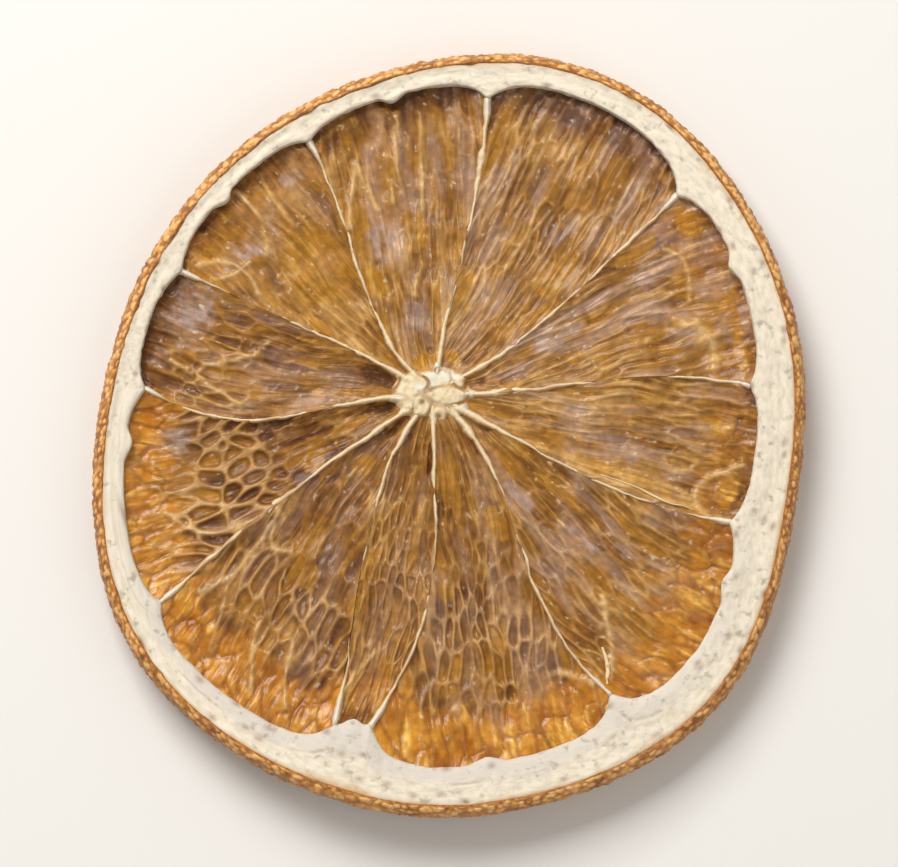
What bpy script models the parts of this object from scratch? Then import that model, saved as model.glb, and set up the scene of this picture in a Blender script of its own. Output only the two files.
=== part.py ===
"""A dried orange slice: one round cut right across an orange and dried, lying with its better face up.

The rind is a raised rim that has curled a little in drying. Inside it the pulp has sunk between thin
standing membranes, which run from a spongy core out to points of the white pith. Both faces are alike.
"""

import math

import bpy
from mathutils import Vector, noise

MM = 0.001

# The rind's outer edge, seen from above: a mean radius and the waves that make it uneven.
OUTLINE_RADIUS = 28.1 * MM
# Waves round the edge, their height, and the direction of a crest in degrees.
OUTLINE_WAVES = (
    (1, 0.44 * MM, -22),
    (2, 1.23 * MM, 71),
    (3, 0.54 * MM, -47),
    (4, 0.31 * MM, 44),
    (5, 0.08 * MM, 2),
    (6, 0.13 * MM, 18),
    (7, 0.1 * MM, 10),
)

# The rind, which is thickest on one side because the core lies off centre.
RIND_WIDTH = 3.05 * MM
RIND_EXTRA = 1.0 * MM
RIND_EXTRA_DIRECTION = -50
PEEL_WIDTH = 0.85 * MM
RIND_HALF_HEIGHT = 2.0 * MM
PEEL_BULGE = 0.5 * MM
PEEL_FLARE = 0.35 * MM

# The spongy core, whose edge is drawn out towards each membrane.
CORE_CENTRE = (-1.2 * MM, 3.2 * MM)
CORE_HALF_LENGTH = 3.1 * MM
CORE_HALF_WIDTH = 2.2 * MM
CORE_HALF_HEIGHT = 1.25 * MM
CORE_ARM = 0.6 * MM

# Each membrane: its direction at the core, its direction at the rind, its bow between them, all in degrees,
# and how far the pith comes to meet it.
MEMBRANES = (
    (0, 1.5, 3.5, 0.8 * MM),
    (28, 39, -0.5, 1.3 * MM),
    (80.5, 79.5, -2, 1.3 * MM),
    (134, 116, -1.5, 0.8 * MM),
    (150, 154, 0, 0.7 * MM),
    (185, 179, 8, 1.0 * MM),
    (213, 217.5, -1, 0.9 * MM),
    (234, 253.5, 0, 1.8 * MM),
    (272, 259.5, 6.5, 2.6 * MM),
    (316, 300.5, -6, 2.0 * MM),
    (331, 336.5, -3, 1.0 * MM),
)
MEMBRANE_HALF_WIDTH = 0.12 * MM
MEMBRANE_FOOT = 0.38 * MM
MEMBRANE_HALF_HEIGHT = 1.0 * MM
MEMBRANE_RISE_AT_RIND = 0.6 * MM
MEMBRANE_RISE_AT_CORE = 0.25 * MM
TURN_NEAR_CORE = 1.8

# The pith's inner edge comes to a point at each membrane, and the pith fills the end of one narrow segment.
# Some segments, counted from the first membrane, have a second, shallow point part of the way across.
TOOTH_WIDTH = 1.25 * MM
FILLED_SEGMENTS = {7: 1.2 * MM}
NOTCHES = {0: 0.57, 2: 0.5, 3: 0.55, 5: 0.27, 8: 0.46, 9: 0.73}
NOTCH_DEPTH = 0.5 * MM
NOTCH_HALF_WIDTH = 0.09

# The dried pulp, thinnest in the middle of each segment.
PULP_HALF_HEIGHT = 0.5 * MM
PULP_RISE_AT_MEMBRANE = 0.3 * MM
PULP_RISE_AT_RIND = 0.35 * MM
PULP_LUMP = 0.3 * MM
PULP_LUMP_SPACING = 2.6 * MM
RIND_LUMP = 0.12 * MM
RIND_LUMP_SPACING = 4.0 * MM
LUMP_SEED = 11

# The curl: three waves round the rim, and a lift of one side. The rim rests on the waves' three low places,
# which are worn flat.
CURL_WAVE = 0.5 * MM
CURL_LIFT = 0.3 * MM
CURL_DIRECTION = -105
FOOT_TRIM = 0.14 * MM

# How finely the slice is divided.
COLUMNS_PER_SEGMENT = 12
CORE_SHARES = (0.45, 0.8, 1.0)
PULP_SHARES = (0.06, 0.2, 0.36, 0.52, 0.68, 0.83, 0.94, 1.0)
PITH_LEVELS = {0.14: 0.88, 0.34: 1.0, 0.7: 1.0, 1.0: 0.94}
SIDE_LEVELS = (0.78, 0.4, 0.0, -0.4, -0.78)
RING_STEP = 1.0 * MM

SEGMENTS = len(MEMBRANES)
COLUMNS = SEGMENTS * COLUMNS_PER_SEGMENT
RINGS = [("core", share) for share in CORE_SHARES]
RINGS += [("pulp", share) for share in PULP_SHARES]
RINGS += [("pith", share) for share in PITH_LEVELS]

FINISHES = {
    "peel": ("A86A26", 0.5),
    "pith": ("E9DEC9", 0.85),
    "pulp": ("A5713A", 0.4),
}


def blend(start, end, share):
    """The value a share of the way from start to end."""
    return start + (end - start) * share


def ease(share):
    """A share that starts and ends gently."""
    return share * share * (3 - 2 * share)


def outline_radius(direction):
    """The rind's outer radius in a direction, in radians, from the middle of the rim."""
    waves = sum(
        height * math.cos(count * (direction - math.radians(crest)))
        for count, height, crest in OUTLINE_WAVES
    )
    return OUTLINE_RADIUS + waves


def rind_width(direction):
    """The width of pith and peel together, where no point of pith reaches inwards."""
    return RIND_WIDTH + RIND_EXTRA * math.cos(direction - math.radians(RIND_EXTRA_DIRECTION))


def reach(direction, inset=0.0):
    """How far it is from the core's centre to the outline, less the rind if inset is 1."""
    cos, sin = math.cos(direction), math.sin(direction)
    distance = OUTLINE_RADIUS
    for _ in range(12):
        x = CORE_CENTRE[0] + distance * cos
        y = CORE_CENTRE[1] + distance * sin
        seen = math.atan2(y, x)
        wanted = outline_radius(seen) - inset * rind_width(seen)
        distance += wanted - math.hypot(x, y)
    return distance


def membrane_direction(number, share):
    """A membrane's direction from the core's centre, a share of the way from the core out to the rind."""
    turns, index = divmod(number, SEGMENTS)
    at_core, at_rind, bow, _ = MEMBRANES[index]
    turned = 1 - (1 - share) ** TURN_NEAR_CORE
    degrees = blend(at_core, at_rind, turned) + bow * math.sin(math.pi * share)
    return math.radians(degrees + 360 * turns)


def core_radius(direction, across):
    """The core's radius, a share across a segment, drawn out towards the membranes on each side."""
    length, width = CORE_HALF_LENGTH, CORE_HALF_WIDTH
    oval = length * width / math.hypot(width * math.cos(direction), length * math.sin(direction))
    return oval + CORE_ARM * abs(2 * across - 1) ** 3


def pith_inset(segment, across, width):
    """How far the pith reaches inwards of its plain inner edge, a share across a segment of a width."""
    before, after = MEMBRANES[segment][3], MEMBRANES[(segment + 1) % SEGMENTS][3]
    inset = before * math.exp(-across * width / TOOTH_WIDTH)
    inset += after * math.exp((across - 1) * width / TOOTH_WIDTH)
    inset += FILLED_SEGMENTS.get(segment, 0.0) * 4 * across * (1 - across)
    if segment in NOTCHES:
        inset += NOTCH_DEPTH * max(0.0, 1 - abs(across - NOTCHES[segment]) / NOTCH_HALF_WIDTH)
    return inset


def across_segment(place, radius, span):
    """A column's share across its segment: the first and last two follow the membranes' sides."""
    crest = min(MEMBRANE_HALF_WIDTH / radius / span, 0.1)
    foot = min(MEMBRANE_FOOT / radius / span, 0.25)
    last = COLUMNS_PER_SEGMENT - 1
    if place in (0, last):
        return crest if place == 0 else 1 - crest
    return blend(foot, 1 - foot, (place - 1) / (last - 2))


def curl(x, y):
    """How far drying has lifted the slice's middle surface at a place."""
    out = min(1.0, math.hypot(x, y) / OUTLINE_RADIUS)
    turned = math.atan2(y, x) - math.radians(CURL_DIRECTION)
    lift = CURL_LIFT * (math.cos(2 * turned) + math.cos(turned))
    return out * out * (CURL_WAVE * math.cos(3 * turned) + lift)


def lump(x, y, side, spacing, height):
    """Shallow unevenness, different on each face."""
    return height * noise.noise(Vector((x / spacing, y / spacing, LUMP_SEED + side)))


def flat_place(segment, place, zone, share):
    """The (x, y) of a column and ring, with the column's share across its segment."""
    share_along = {"core": 0.0, "pulp": share, "pith": 1.0}[zone]
    start = membrane_direction(segment, share_along)
    span = membrane_direction(segment + 1, share_along) - start
    near = CORE_HALF_WIDTH + share_along * (OUTLINE_RADIUS - CORE_HALF_WIDTH)
    across = across_segment(place, near, span)
    if zone == "pith":
        even = (place + 0.5) / COLUMNS_PER_SEGMENT
        across = blend(across, even, ease(share))
    direction = start + span * across
    core = core_radius(direction, across)
    inner = reach(direction, inset=1)
    end_span = membrane_direction(segment + 1, 1) - membrane_direction(segment, 1)
    inner -= pith_inset(segment, across, inner * end_span)
    outer = reach(direction) - PEEL_WIDTH
    radius = {
        "core": core * share,
        "pulp": blend(core, inner, share),
        "pith": blend(inner, outer, share),
    }[zone]
    x = CORE_CENTRE[0] + radius * math.cos(direction)
    y = CORE_CENTRE[1] + radius * math.sin(direction)
    return x, y, across


def face_height(place, zone, share, across, x, y, side):
    """How far the face stands from the slice's middle surface."""
    if zone == "core":
        return CORE_HALF_HEIGHT + lump(x, y, side, PULP_LUMP_SPACING / 2, PULP_LUMP)
    if zone == "pith":
        level = PITH_LEVELS[share]
        return RIND_HALF_HEIGHT * level + lump(x, y, side, RIND_LUMP_SPACING, RIND_LUMP) * level
    if place in (0, COLUMNS_PER_SEGMENT - 1):
        rise = MEMBRANE_RISE_AT_RIND * share**4 + MEMBRANE_RISE_AT_CORE * (1 - share) ** 3
        return MEMBRANE_HALF_HEIGHT + rise + lump(x, y, side, PULP_LUMP_SPACING, PULP_LUMP / 3)
    pulled_up = PULP_RISE_AT_MEMBRANE * (2 * across - 1) ** 2 + PULP_RISE_AT_RIND * share**12
    return PULP_HALF_HEIGHT + pulled_up + lump(x, y, side, PULP_LUMP_SPACING, PULP_LUMP)


def shaped(column, ring, level):
    """Where a point of the turned blank goes. Level runs from 1 on the upper face to -1 on the lower one."""
    segment, place = divmod(column, COLUMNS_PER_SEGMENT)
    side = 1 if level > 0 else -1
    if ring == 0:
        x, y = CORE_CENTRE
        return Vector((x, y, curl(x, y) + side * CORE_HALF_HEIGHT))
    zone, share = RINGS[ring - 1]
    x, y, across = flat_place(segment, place, zone, share)
    if abs(level) == 1:
        height = face_height(place, zone, share, across, x, y, side)
        return Vector((x, y, curl(x, y) + side * height))
    seen = math.atan2(y, x)
    radius = outline_radius(seen) - PEEL_BULGE * level**2 - PEEL_FLARE * (level + 1) / 2
    radius += lump(x, y, level, RIND_LUMP_SPACING, RIND_LUMP)
    x, y = radius * math.cos(seen), radius * math.sin(seen)
    return Vector((x, y, curl(x, y) + RIND_HALF_HEIGHT * level))


def turned_blank():
    """A disc turned from a profile, with a ring for each station and a column for each slice of a segment."""
    edge = len(RINGS)
    profile = [(ring * RING_STEP, 0, MM) for ring in range(edge + 1)]
    profile += [(edge * RING_STEP, 0, level * MM) for level in SIDE_LEVELS]
    profile += [(ring * RING_STEP, 0, -MM) for ring in reversed(range(edge + 1))]
    mesh = bpy.data.meshes.new("blank_profile")
    mesh.from_pydata(profile, [(n, n + 1) for n in range(len(profile) - 1)], [])
    blank = bpy.data.objects.new("blank", mesh)
    bpy.context.scene.collection.objects.link(blank)
    screw = blank.modifiers.new("Turn", "SCREW")
    screw.steps = screw.render_steps = COLUMNS
    screw.use_merge_vertices = True
    screw.merge_threshold = 0.00001
    bpy.context.view_layer.update()
    turned = bpy.data.meshes.new_from_object(blank.evaluated_get(bpy.context.evaluated_depsgraph_get()))
    bpy.data.objects.remove(blank)
    return turned


def shape_slice(mesh):
    """Moves each point of the blank to its place on the slice, and stands the slice on the ground."""
    for vertex in mesh.vertices:
        x, y, z = vertex.co
        column = round(math.atan2(y, x) / math.tau * COLUMNS) % COLUMNS
        vertex.co = shaped(column, round(math.hypot(x, y) / RING_STEP), round(z / MM, 3))
    middle = [(min(axis) + max(axis)) / 2 for axis in zip(*(v.co.xy for v in mesh.vertices))]
    ground = min(v.co.z for v in mesh.vertices) + FOOT_TRIM
    for vertex in mesh.vertices:
        vertex.co -= Vector((*middle, ground))
        vertex.co.z = max(vertex.co.z, 0.0)


def finish(name):
    """A material from the slice's colours, given as sRGB, and their roughness."""
    code, roughness = FINISHES[name]
    srgb = [int(code[n : n + 2], 16) / 255 for n in (0, 2, 4)]
    colour = [c / 12.92 if c < 0.04045 else ((c + 0.055) / 1.055) ** 2.4 for c in srgb]
    material = bpy.data.materials.new(name)
    material.use_nodes = True
    shader = material.node_tree.nodes["Principled BSDF"]
    shader.inputs["Base Color"].default_value = (*colour, 1)
    shader.inputs["Roughness"].default_value = roughness
    shader.inputs["Metallic"].default_value = 0
    return material


def give_finishes(mesh, rings):
    """Peel on the side, pith on the rim and the core, and pulp between them, by each face's ring."""
    pulp_rings = range(len(CORE_SHARES), len(CORE_SHARES) + len(PULP_SHARES) + 1)
    for name in FINISHES:
        mesh.materials.append(finish(name))
    for face in mesh.polygons:
        inner = min(rings[n] for n in face.vertices)
        if inner == len(RINGS):
            face.material_index = 0
        else:
            face.material_index = 2 if inner in pulp_rings else 1


def make_slice():
    """The whole slice as one closed solid."""
    mesh = turned_blank()
    rings = [round(vertex.co.xy.length / RING_STEP) for vertex in mesh.vertices]
    give_finishes(mesh, rings)
    shape_slice(mesh)
    mesh.name = "orange_slice"
    mesh.shade_smooth()
    mesh.set_sharp_from_angle(angle=math.radians(60))
    return bpy.data.objects.new("orange_slice", mesh)


def main():
    """Clears the scene and builds the slice in its own collection."""
    for old in list(bpy.data.objects):
        bpy.data.objects.remove(old)
    collection = bpy.data.collections.new("dried_orange_slice")
    bpy.context.scene.collection.children.link(collection)
    collection.objects.link(make_slice())


main()
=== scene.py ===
"""A dried orange slice: the visible model that is dressed over the slice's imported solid.

The slice is one round cut, dried. It is made as a ring of beaded peel, a ring of white pith, a sheet of
dried pulp for each segment, thin standing membranes between them, a spongy core and a few loose strands.
All of them share the solid's main shape, which SliceForm holds, in millimetres.
"""

from __future__ import annotations

import logging
import math
from collections.abc import Callable
from dataclasses import dataclass, field
from enum import Enum
from typing import Any

import bmesh
import bpy
import numpy as np
from mathutils import Matrix, Vector, noise
from mathutils.bvhtree import BVHTree

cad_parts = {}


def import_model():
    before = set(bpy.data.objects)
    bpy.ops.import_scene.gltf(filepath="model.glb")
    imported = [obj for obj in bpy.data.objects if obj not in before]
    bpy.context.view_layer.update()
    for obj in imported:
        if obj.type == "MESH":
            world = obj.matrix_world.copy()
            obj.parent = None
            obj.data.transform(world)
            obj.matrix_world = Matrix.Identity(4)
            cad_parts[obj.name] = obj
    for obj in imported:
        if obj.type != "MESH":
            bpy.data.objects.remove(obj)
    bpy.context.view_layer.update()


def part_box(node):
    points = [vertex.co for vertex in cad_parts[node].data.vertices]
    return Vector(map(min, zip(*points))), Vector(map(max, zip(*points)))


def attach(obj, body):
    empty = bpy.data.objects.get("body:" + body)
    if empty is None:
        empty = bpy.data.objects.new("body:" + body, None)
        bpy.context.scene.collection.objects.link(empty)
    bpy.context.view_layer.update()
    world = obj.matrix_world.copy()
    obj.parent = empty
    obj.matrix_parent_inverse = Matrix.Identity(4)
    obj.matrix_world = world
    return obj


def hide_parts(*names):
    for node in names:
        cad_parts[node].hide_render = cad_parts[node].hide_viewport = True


MM = 0.001
NODE = "orange_slice"
BODY = "root"

Masks = dict[str, np.ndarray]

# Corners of a closed section, each as (share round it, first coordinate, second coordinate).
Stations = tuple[tuple[float, float, float], ...]

log = logging.getLogger("dried_orange_slice")


class Slot(Enum):
    """The record's material slots."""

    PITH = "pith"
    PEEL = "peel"
    PULP = "pulp"
    MEMBRANE = "membrane"


# Numbers that vary over a surface.


def blend(start: Any, end: Any, share: Any) -> Any:
    """The value a share of the way from start to end."""
    return start + (end - start) * share


def ease(share: np.ndarray) -> np.ndarray:
    """A share from 0 to 1 that starts and ends gently."""
    return share * share * (3 - 2 * share)


def between(value: Any, low: Any, high: Any) -> np.ndarray:
    """How far a value has come from low to high, eased, and held at 0 and 1 outside them."""
    return ease(np.clip((value - low) / (high - low), 0, 1))


def scattered(row: np.ndarray, column: np.ndarray, seed: int) -> np.ndarray:
    """A number from 0 to 1 for each place of a lattice, the same on every run.

    Args:
        row: whole numbers.
        column: whole numbers of the same shape.
        seed: picks one of many such lattices.

    Returns:
        The numbers, in the shape of row.
    """
    bits = np.int64(0xFFFFFFFF)
    mixed = (row.astype(np.int64) * 374761393 + column.astype(np.int64) * 668265263 + seed * 974711) & bits
    mixed = ((mixed ^ (mixed >> 13)) * 1274126177) & bits
    mixed = ((mixed ^ (mixed >> 15)) * 1103515245) & bits
    return (mixed ^ (mixed >> 16)) / float(bits)


def ripple(x: np.ndarray, y: np.ndarray, seed: int) -> np.ndarray:
    """Smooth unevenness from -1 to 1, with about one swell to a unit.

    Args:
        x: places along one direction.
        y: places along the other.
        seed: picks one of many such surfaces.

    Returns:
        The unevenness at each place.
    """
    row, column = np.floor(x), np.floor(y)
    along, across = ease(x - row), ease(y - column)
    near = blend(scattered(row, column, seed), scattered(row, column + 1, seed), across)
    far = blend(scattered(row + 1, column, seed), scattered(row + 1, column + 1, seed), across)
    return 2 * blend(near, far, along) - 1


def layered(x: np.ndarray, y: np.ndarray, seed: int, layers: int = 3) -> np.ndarray:
    """Ripples on ripples, each layer half as wide and half as high as the last."""
    total = sum(ripple(x * 2**n + 3.7 * n, y * 2**n - 1.3 * n, seed + n) / 2**n for n in range(layers))
    return total / (2 - 2.0 ** (1 - layers))


@dataclass(frozen=True)
class Cells:
    """What a pattern of cells gives at each place.

    Attributes:
        wall: the distance to the nearest wall between cells, in mm.
        centre: the distance to the cell's own centre, in cells.
        tint: a number from 0 to 1 for each cell.
        second: another such number.
    """

    wall: np.ndarray
    centre: np.ndarray
    tint: np.ndarray
    second: np.ndarray


def cell_pattern(
    u: np.ndarray,
    v: np.ndarray,
    width: Any,
    length: Any,
    seed: int,
    jitter: float = 0.8,
    rounding: float = 0.05,
) -> Cells:
    """A staggered pattern of uneven cells with straight walls, as packed juice cells have.

    Args:
        u: places across the cells, one cell to a unit.
        v: places along the cells, one cell to a unit.
        width: a cell's width in mm.
        length: a cell's length in mm.
        seed: picks one of many such patterns.
        jitter: how far the cells' centres stray from even rows, in cells.
        rounding: how far the walls fill the cells' corners, in mm.

    Returns:
        The pattern's values at each place.
    """

    def centre_of(row: np.ndarray, column: np.ndarray) -> tuple[np.ndarray, np.ndarray]:
        """Where the cells' centres lie.

        Args:
            row: the cells' rows, of which every second one is shifted by half a cell.
            column: the cells' columns.

        Returns:
            The centres' u and v.
        """
        shift = 0.5 * np.mod(row, 2)
        stray_u = jitter * (scattered(row, column, seed) - 0.5)
        stray_v = jitter * (scattered(row, column, seed + 1) - 0.5)
        return column + 0.5 + shift + stray_u, row + 0.5 + stray_v

    best = np.full(u.shape, 1e9)
    own_row, own_column = np.zeros(u.shape), np.zeros(u.shape)
    for step in (-1, 0, 1):
        row = np.floor(v) + step
        first = np.floor(u - 0.5 * np.mod(row, 2))
        for side in (-1, 0, 1):
            column = first + side
            centre_u, centre_v = centre_of(row, column)
            away = (centre_u - u) ** 2 + (centre_v - v) ** 2
            closer = away < best
            best = np.where(closer, away, best)
            own_row, own_column = np.where(closer, row, own_row), np.where(closer, column, own_column)
    own_u, own_v = centre_of(own_row, own_column)
    nearness = np.zeros(u.shape)
    for step in (-1, 0, 1):
        for side in (-2, -1, 0, 1, 2):
            if step == side == 0:
                continue
            other_u, other_v = centre_of(own_row + step, own_column + side)
            to_u, to_v = other_u - own_u, other_v - own_v
            apart = np.hypot(to_u, to_v) + 1e-6
            to_u, to_v = to_u / apart, to_v / apart
            bisector = apart / 2 - (u - own_u) * to_u - (v - own_v) * to_v
            nearness += np.exp(-bisector / np.hypot(to_u / width, to_v / length) / rounding)
    return Cells(
        np.maximum(-rounding * np.log(nearness), 0),
        np.sqrt(best),
        scattered(own_row, own_column, seed + 2),
        scattered(own_row, own_column, seed + 3),
    )


# The slice's main shape.


@dataclass(frozen=True)
class MembraneLine:
    """A membrane's line across the slice.

    Attributes:
        at_core: its direction at the core, in degrees.
        at_rind: its direction at the rind, in degrees.
        bow: how far it bows between them, in degrees.
        tooth: how far the pith comes to meet it, in mm.
    """

    at_core: float
    at_rind: float
    bow: float
    tooth: float


LINES = (
    MembraneLine(0, 1.5, 3.5, 0.8),
    MembraneLine(28, 39, -0.5, 1.3),
    MembraneLine(80.5, 79.5, -2, 1.3),
    MembraneLine(134, 116, -1.5, 0.8),
    MembraneLine(150, 154, 0, 0.7),
    MembraneLine(185, 179, 8, 1.0),
    MembraneLine(213, 217.5, -1, 0.9),
    MembraneLine(234, 253.5, 0, 1.8),
    MembraneLine(272, 259.5, 6.5, 2.6),
    MembraneLine(316, 300.5, -6, 2.0),
    MembraneLine(331, 336.5, -3, 1.0),
)
SEGMENTS = len(LINES)


@dataclass
class SliceForm:
    """The slice's main shape in mm, from the same values as the solid.

    Attributes:
        offset: what moves the shape to its place over the solid.
    """

    outline_radius: float = 28.1
    outline_waves: tuple[tuple[int, float, float], ...] = (
        (1, 0.44, -22),
        (2, 1.23, 71),
        (3, 0.54, -47),
        (4, 0.31, 44),
        (5, 0.08, 2),
        (6, 0.13, 18),
        (7, 0.1, 10),
    )
    rind_width: float = 3.05
    rind_extra: float = 1.0
    rind_extra_direction: float = -50
    rind_half_height: float = 2.0
    core_x: float = -1.2
    core_y: float = 3.2
    core_half_length: float = 3.1
    core_half_width: float = 2.2
    core_half_height: float = 1.25
    core_arm: float = 0.6
    turn_near_core: float = 1.8
    tooth_width: float = 1.25
    tooth_rounding: float = 0.2
    filled_segments: tuple[tuple[int, float], ...] = ((7, 1.2),)
    notches: tuple[tuple[int, float], ...] = ((0, 0.57), (2, 0.5), (3, 0.55), (5, 0.27), (8, 0.46), (9, 0.73))
    notch_depth: float = 0.5
    notch_half_width: float = 0.09
    pulp_half_height: float = 0.5
    pulp_rise_at_membrane: float = 0.3
    pulp_rise_at_rind: float = 0.35
    pulp_lump: float = 0.3
    pulp_lump_spacing: float = 2.6
    rind_lump: float = 0.12
    rind_lump_spacing: float = 4.0
    lump_seed: int = 11
    curl_wave: float = 0.5
    curl_lift: float = 0.3
    curl_direction: float = -105
    table_steps: int = 3600
    offset: np.ndarray = field(init=False)

    def __post_init__(self) -> None:
        """Tabulates the rind's edges as seen from the core, and finds the shape's place over the solid."""
        self._directions = np.linspace(-math.pi, math.pi, self.table_steps + 1)
        self._outer = self._reach(self._directions, 0.0)
        self._inner = self._reach(self._directions, 1.0)
        low, high = (np.array(corner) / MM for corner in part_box(NODE))
        x, y = self.flat_place(self._directions, self._outer)
        crest_x, crest_y = self.flat_place(self._directions, self._outer - self.rind_width / 2)
        top = self.curl(crest_x, crest_y) + self.rind_half_height
        top += self.lumps(crest_x, crest_y, 1, self.rind_lump_spacing, self.rind_lump)
        middle = [(axis.min() + axis.max()) / 2 for axis in (x, y)]
        self.offset = np.array([*((low + high)[:2] / 2 - middle), high[2] - top.max()])

    def outline(self, seen: np.ndarray) -> np.ndarray:
        """The rind's outer radius in a direction from the middle of the rim."""
        waves = sum(high * np.cos(n * (seen - math.radians(crest))) for n, high, crest in self.outline_waves)
        return self.outline_radius + waves

    def rind(self, seen: np.ndarray) -> np.ndarray:
        """The width of pith and peel together in a direction from the middle of the rim."""
        return self.rind_width + self.rind_extra * np.cos(seen - math.radians(self.rind_extra_direction))

    def _reach(self, direction: np.ndarray, inset: float) -> np.ndarray:
        """How far it is from the core's centre to the rind's outer or inner edge.

        Args:
            direction: directions from the core's centre.
            inset: 0 for the outer edge and 1 for the inner one.

        Returns:
            The distance in each direction, in mm.
        """
        distance = np.full(direction.shape, self.outline_radius)
        for _ in range(12):
            x, y = self.flat_place(direction, distance)
            seen = np.arctan2(y, x)
            distance = distance + self.outline(seen) - inset * self.rind(seen) - np.hypot(x, y)
        return distance

    def outer(self, direction: np.ndarray) -> np.ndarray:
        """How far the rind's outer edge is from the core's centre."""
        return np.interp(direction, self._directions, self._outer, period=math.tau)

    def inner(self, direction: np.ndarray) -> np.ndarray:
        """How far the rind's plain inner edge is from the core's centre."""
        return np.interp(direction, self._directions, self._inner, period=math.tau)

    def flat_place(self, direction: np.ndarray, radius: np.ndarray) -> tuple[np.ndarray, np.ndarray]:
        """The (x, y) of a direction and radius from the core's centre."""
        return self.core_x + radius * np.cos(direction), self.core_y + radius * np.sin(direction)

    def membrane_direction(self, number: int, share: np.ndarray) -> np.ndarray:
        """A membrane's direction from the core's centre, which turns on its way out.

        Args:
            number: the membrane. Numbers past the last one go round again.
            share: the share of the way from the core to the rind.

        Returns:
            The direction in radians at each share.
        """
        turns, index = divmod(number, SEGMENTS)
        line, share = LINES[index], np.clip(share, 0, 1)
        turned = 1 - (1 - share) ** self.turn_near_core
        degrees = blend(line.at_core, line.at_rind, turned) + line.bow * np.sin(math.pi * share)
        return np.radians(degrees + 360 * turns)

    def core_radius(self, direction: np.ndarray, across: np.ndarray) -> np.ndarray:
        """The core's radius, drawn out towards the membranes at each side of a segment.

        Args:
            direction: directions from the core's centre.
            across: the share across the segment there.

        Returns:
            The radius in each direction, in mm.
        """
        length, width = self.core_half_length, self.core_half_width
        oval = length * width / np.hypot(width * np.cos(direction), length * np.sin(direction))
        return oval + self.core_arm * np.abs(2 * across - 1) ** 3

    def segment_at(self, direction: np.ndarray) -> tuple[np.ndarray, np.ndarray, np.ndarray]:
        """The segment that a direction meets at the rind.

        Args:
            direction: directions from the core's centre.

        Returns:
            The segment's number, the share across it, and its span in radians.
        """
        starts = np.array([line.at_rind for line in LINES] + [LINES[0].at_rind + 360])
        degrees = np.mod(np.degrees(direction) - starts[0], 360) + starts[0]
        number = np.clip(np.searchsorted(starts, degrees, side="right") - 1, 0, SEGMENTS - 1)
        span = starts[number + 1] - starts[number]
        return number, (degrees - starts[number]) / span, np.radians(span)

    def pith_inset(self, number: np.ndarray, across: np.ndarray, width: np.ndarray) -> np.ndarray:
        """How far the pith reaches inwards of its plain inner edge.

        Args:
            number: the segment.
            across: the share across it.
            width: the segment's width there in mm.

        Returns:
            The reach in mm: points at the membranes, a shallow notch in some segments, and one filled end.
        """
        teeth = np.array([line.tooth for line in LINES])
        filled, notch = np.zeros(SEGMENTS), np.full(SEGMENTS, -9.0)
        for index, depth in self.filled_segments:
            filled[index] = depth
        for index, share in self.notches:
            notch[index] = share
        beyond = teeth[(number + 1) % SEGMENTS]
        inset = np.zeros(across.shape)
        for tooth, away in ((teeth[number], across * width), (beyond, (1 - across) * width)):
            rounded = np.hypot(away, self.tooth_rounding) - self.tooth_rounding
            inset += tooth * np.exp(-rounded / self.tooth_width)
        inset += filled[number] * np.sin(math.pi * across) ** 2
        beside = np.clip(np.abs(across - notch[number]) / self.notch_half_width, 0, 1)
        return inset + self.notch_depth * np.cos(beside * math.pi / 2) ** 2

    def curl(self, x: np.ndarray, y: np.ndarray) -> np.ndarray:
        """How far drying has lifted the slice's middle surface.

        Args:
            x: the places' x in mm.
            y: the places' y in mm.

        Returns:
            The lift at each place, in mm.
        """
        out = np.minimum(1, np.hypot(x, y) / self.outline_radius)
        turned = np.arctan2(y, x) - math.radians(self.curl_direction)
        lift = self.curl_lift * (np.cos(2 * turned) + np.cos(turned))
        return out * out * (self.curl_wave * np.cos(3 * turned) + lift)

    def lumps(self, x: np.ndarray, y: np.ndarray, side: float, spacing: float, height: float) -> np.ndarray:
        """Shallow unevenness, different on each face.

        Args:
            x: the places' x in mm.
            y: the places' y in mm.
            side: 1 for the upper face and -1 for the lower one.
            spacing: how far apart the lumps are, in mm.
            height: how high they are, in mm.

        Returns:
            The unevenness at each place, in mm.
        """
        places = np.column_stack([x.ravel() / spacing, y.ravel() / spacing]).tolist()
        values = [noise.noise((u, v, self.lump_seed + side)) for u, v in places]
        return height * np.array(values).reshape(x.shape)

    def rind_lumps(self, x: np.ndarray, y: np.ndarray, level: np.ndarray) -> np.ndarray:
        """The rim's own lumps, which fade out at its mid height.

        Args:
            x: the places' x in mm.
            y: the places' y in mm.
            level: their level, from -1 on the lower face to 1 on the upper one.

        Returns:
            The unevenness at each place, in mm.
        """
        result, up = np.empty(x.shape), level > 0
        for side, chosen in ((1, up), (-1, ~up)):
            result[chosen] = self.lumps(x[chosen], y[chosen], side, self.rind_lump_spacing, self.rind_lump)
        return result * np.abs(level)

    def in_segment(self, number: int, across: np.ndarray, share: np.ndarray) -> tuple[np.ndarray, ...]:
        """A place in a segment.

        Args:
            number: the segment.
            across: the share across it, from one membrane to the next.
            share: the share of the way from the core to the rind. It may run a little beyond both.

        Returns:
            The place's x and y, its distance from the core's centre, and the segment's width there.
        """
        start = self.membrane_direction(number, share)
        span = self.membrane_direction(number + 1, share) - start
        direction = start + span * across
        at_rind = np.float64(1)
        end_span = self.membrane_direction(number + 1, at_rind) - self.membrane_direction(number, at_rind)
        core = self.core_radius(direction, across)
        inner = self.inner(direction)
        index = np.full(direction.shape, number % SEGMENTS)
        inner = inner - self.pith_inset(index, across, inner * end_span)
        radius = blend(core, inner, share)
        return (*self.flat_place(direction, radius), radius, span * radius)


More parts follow.
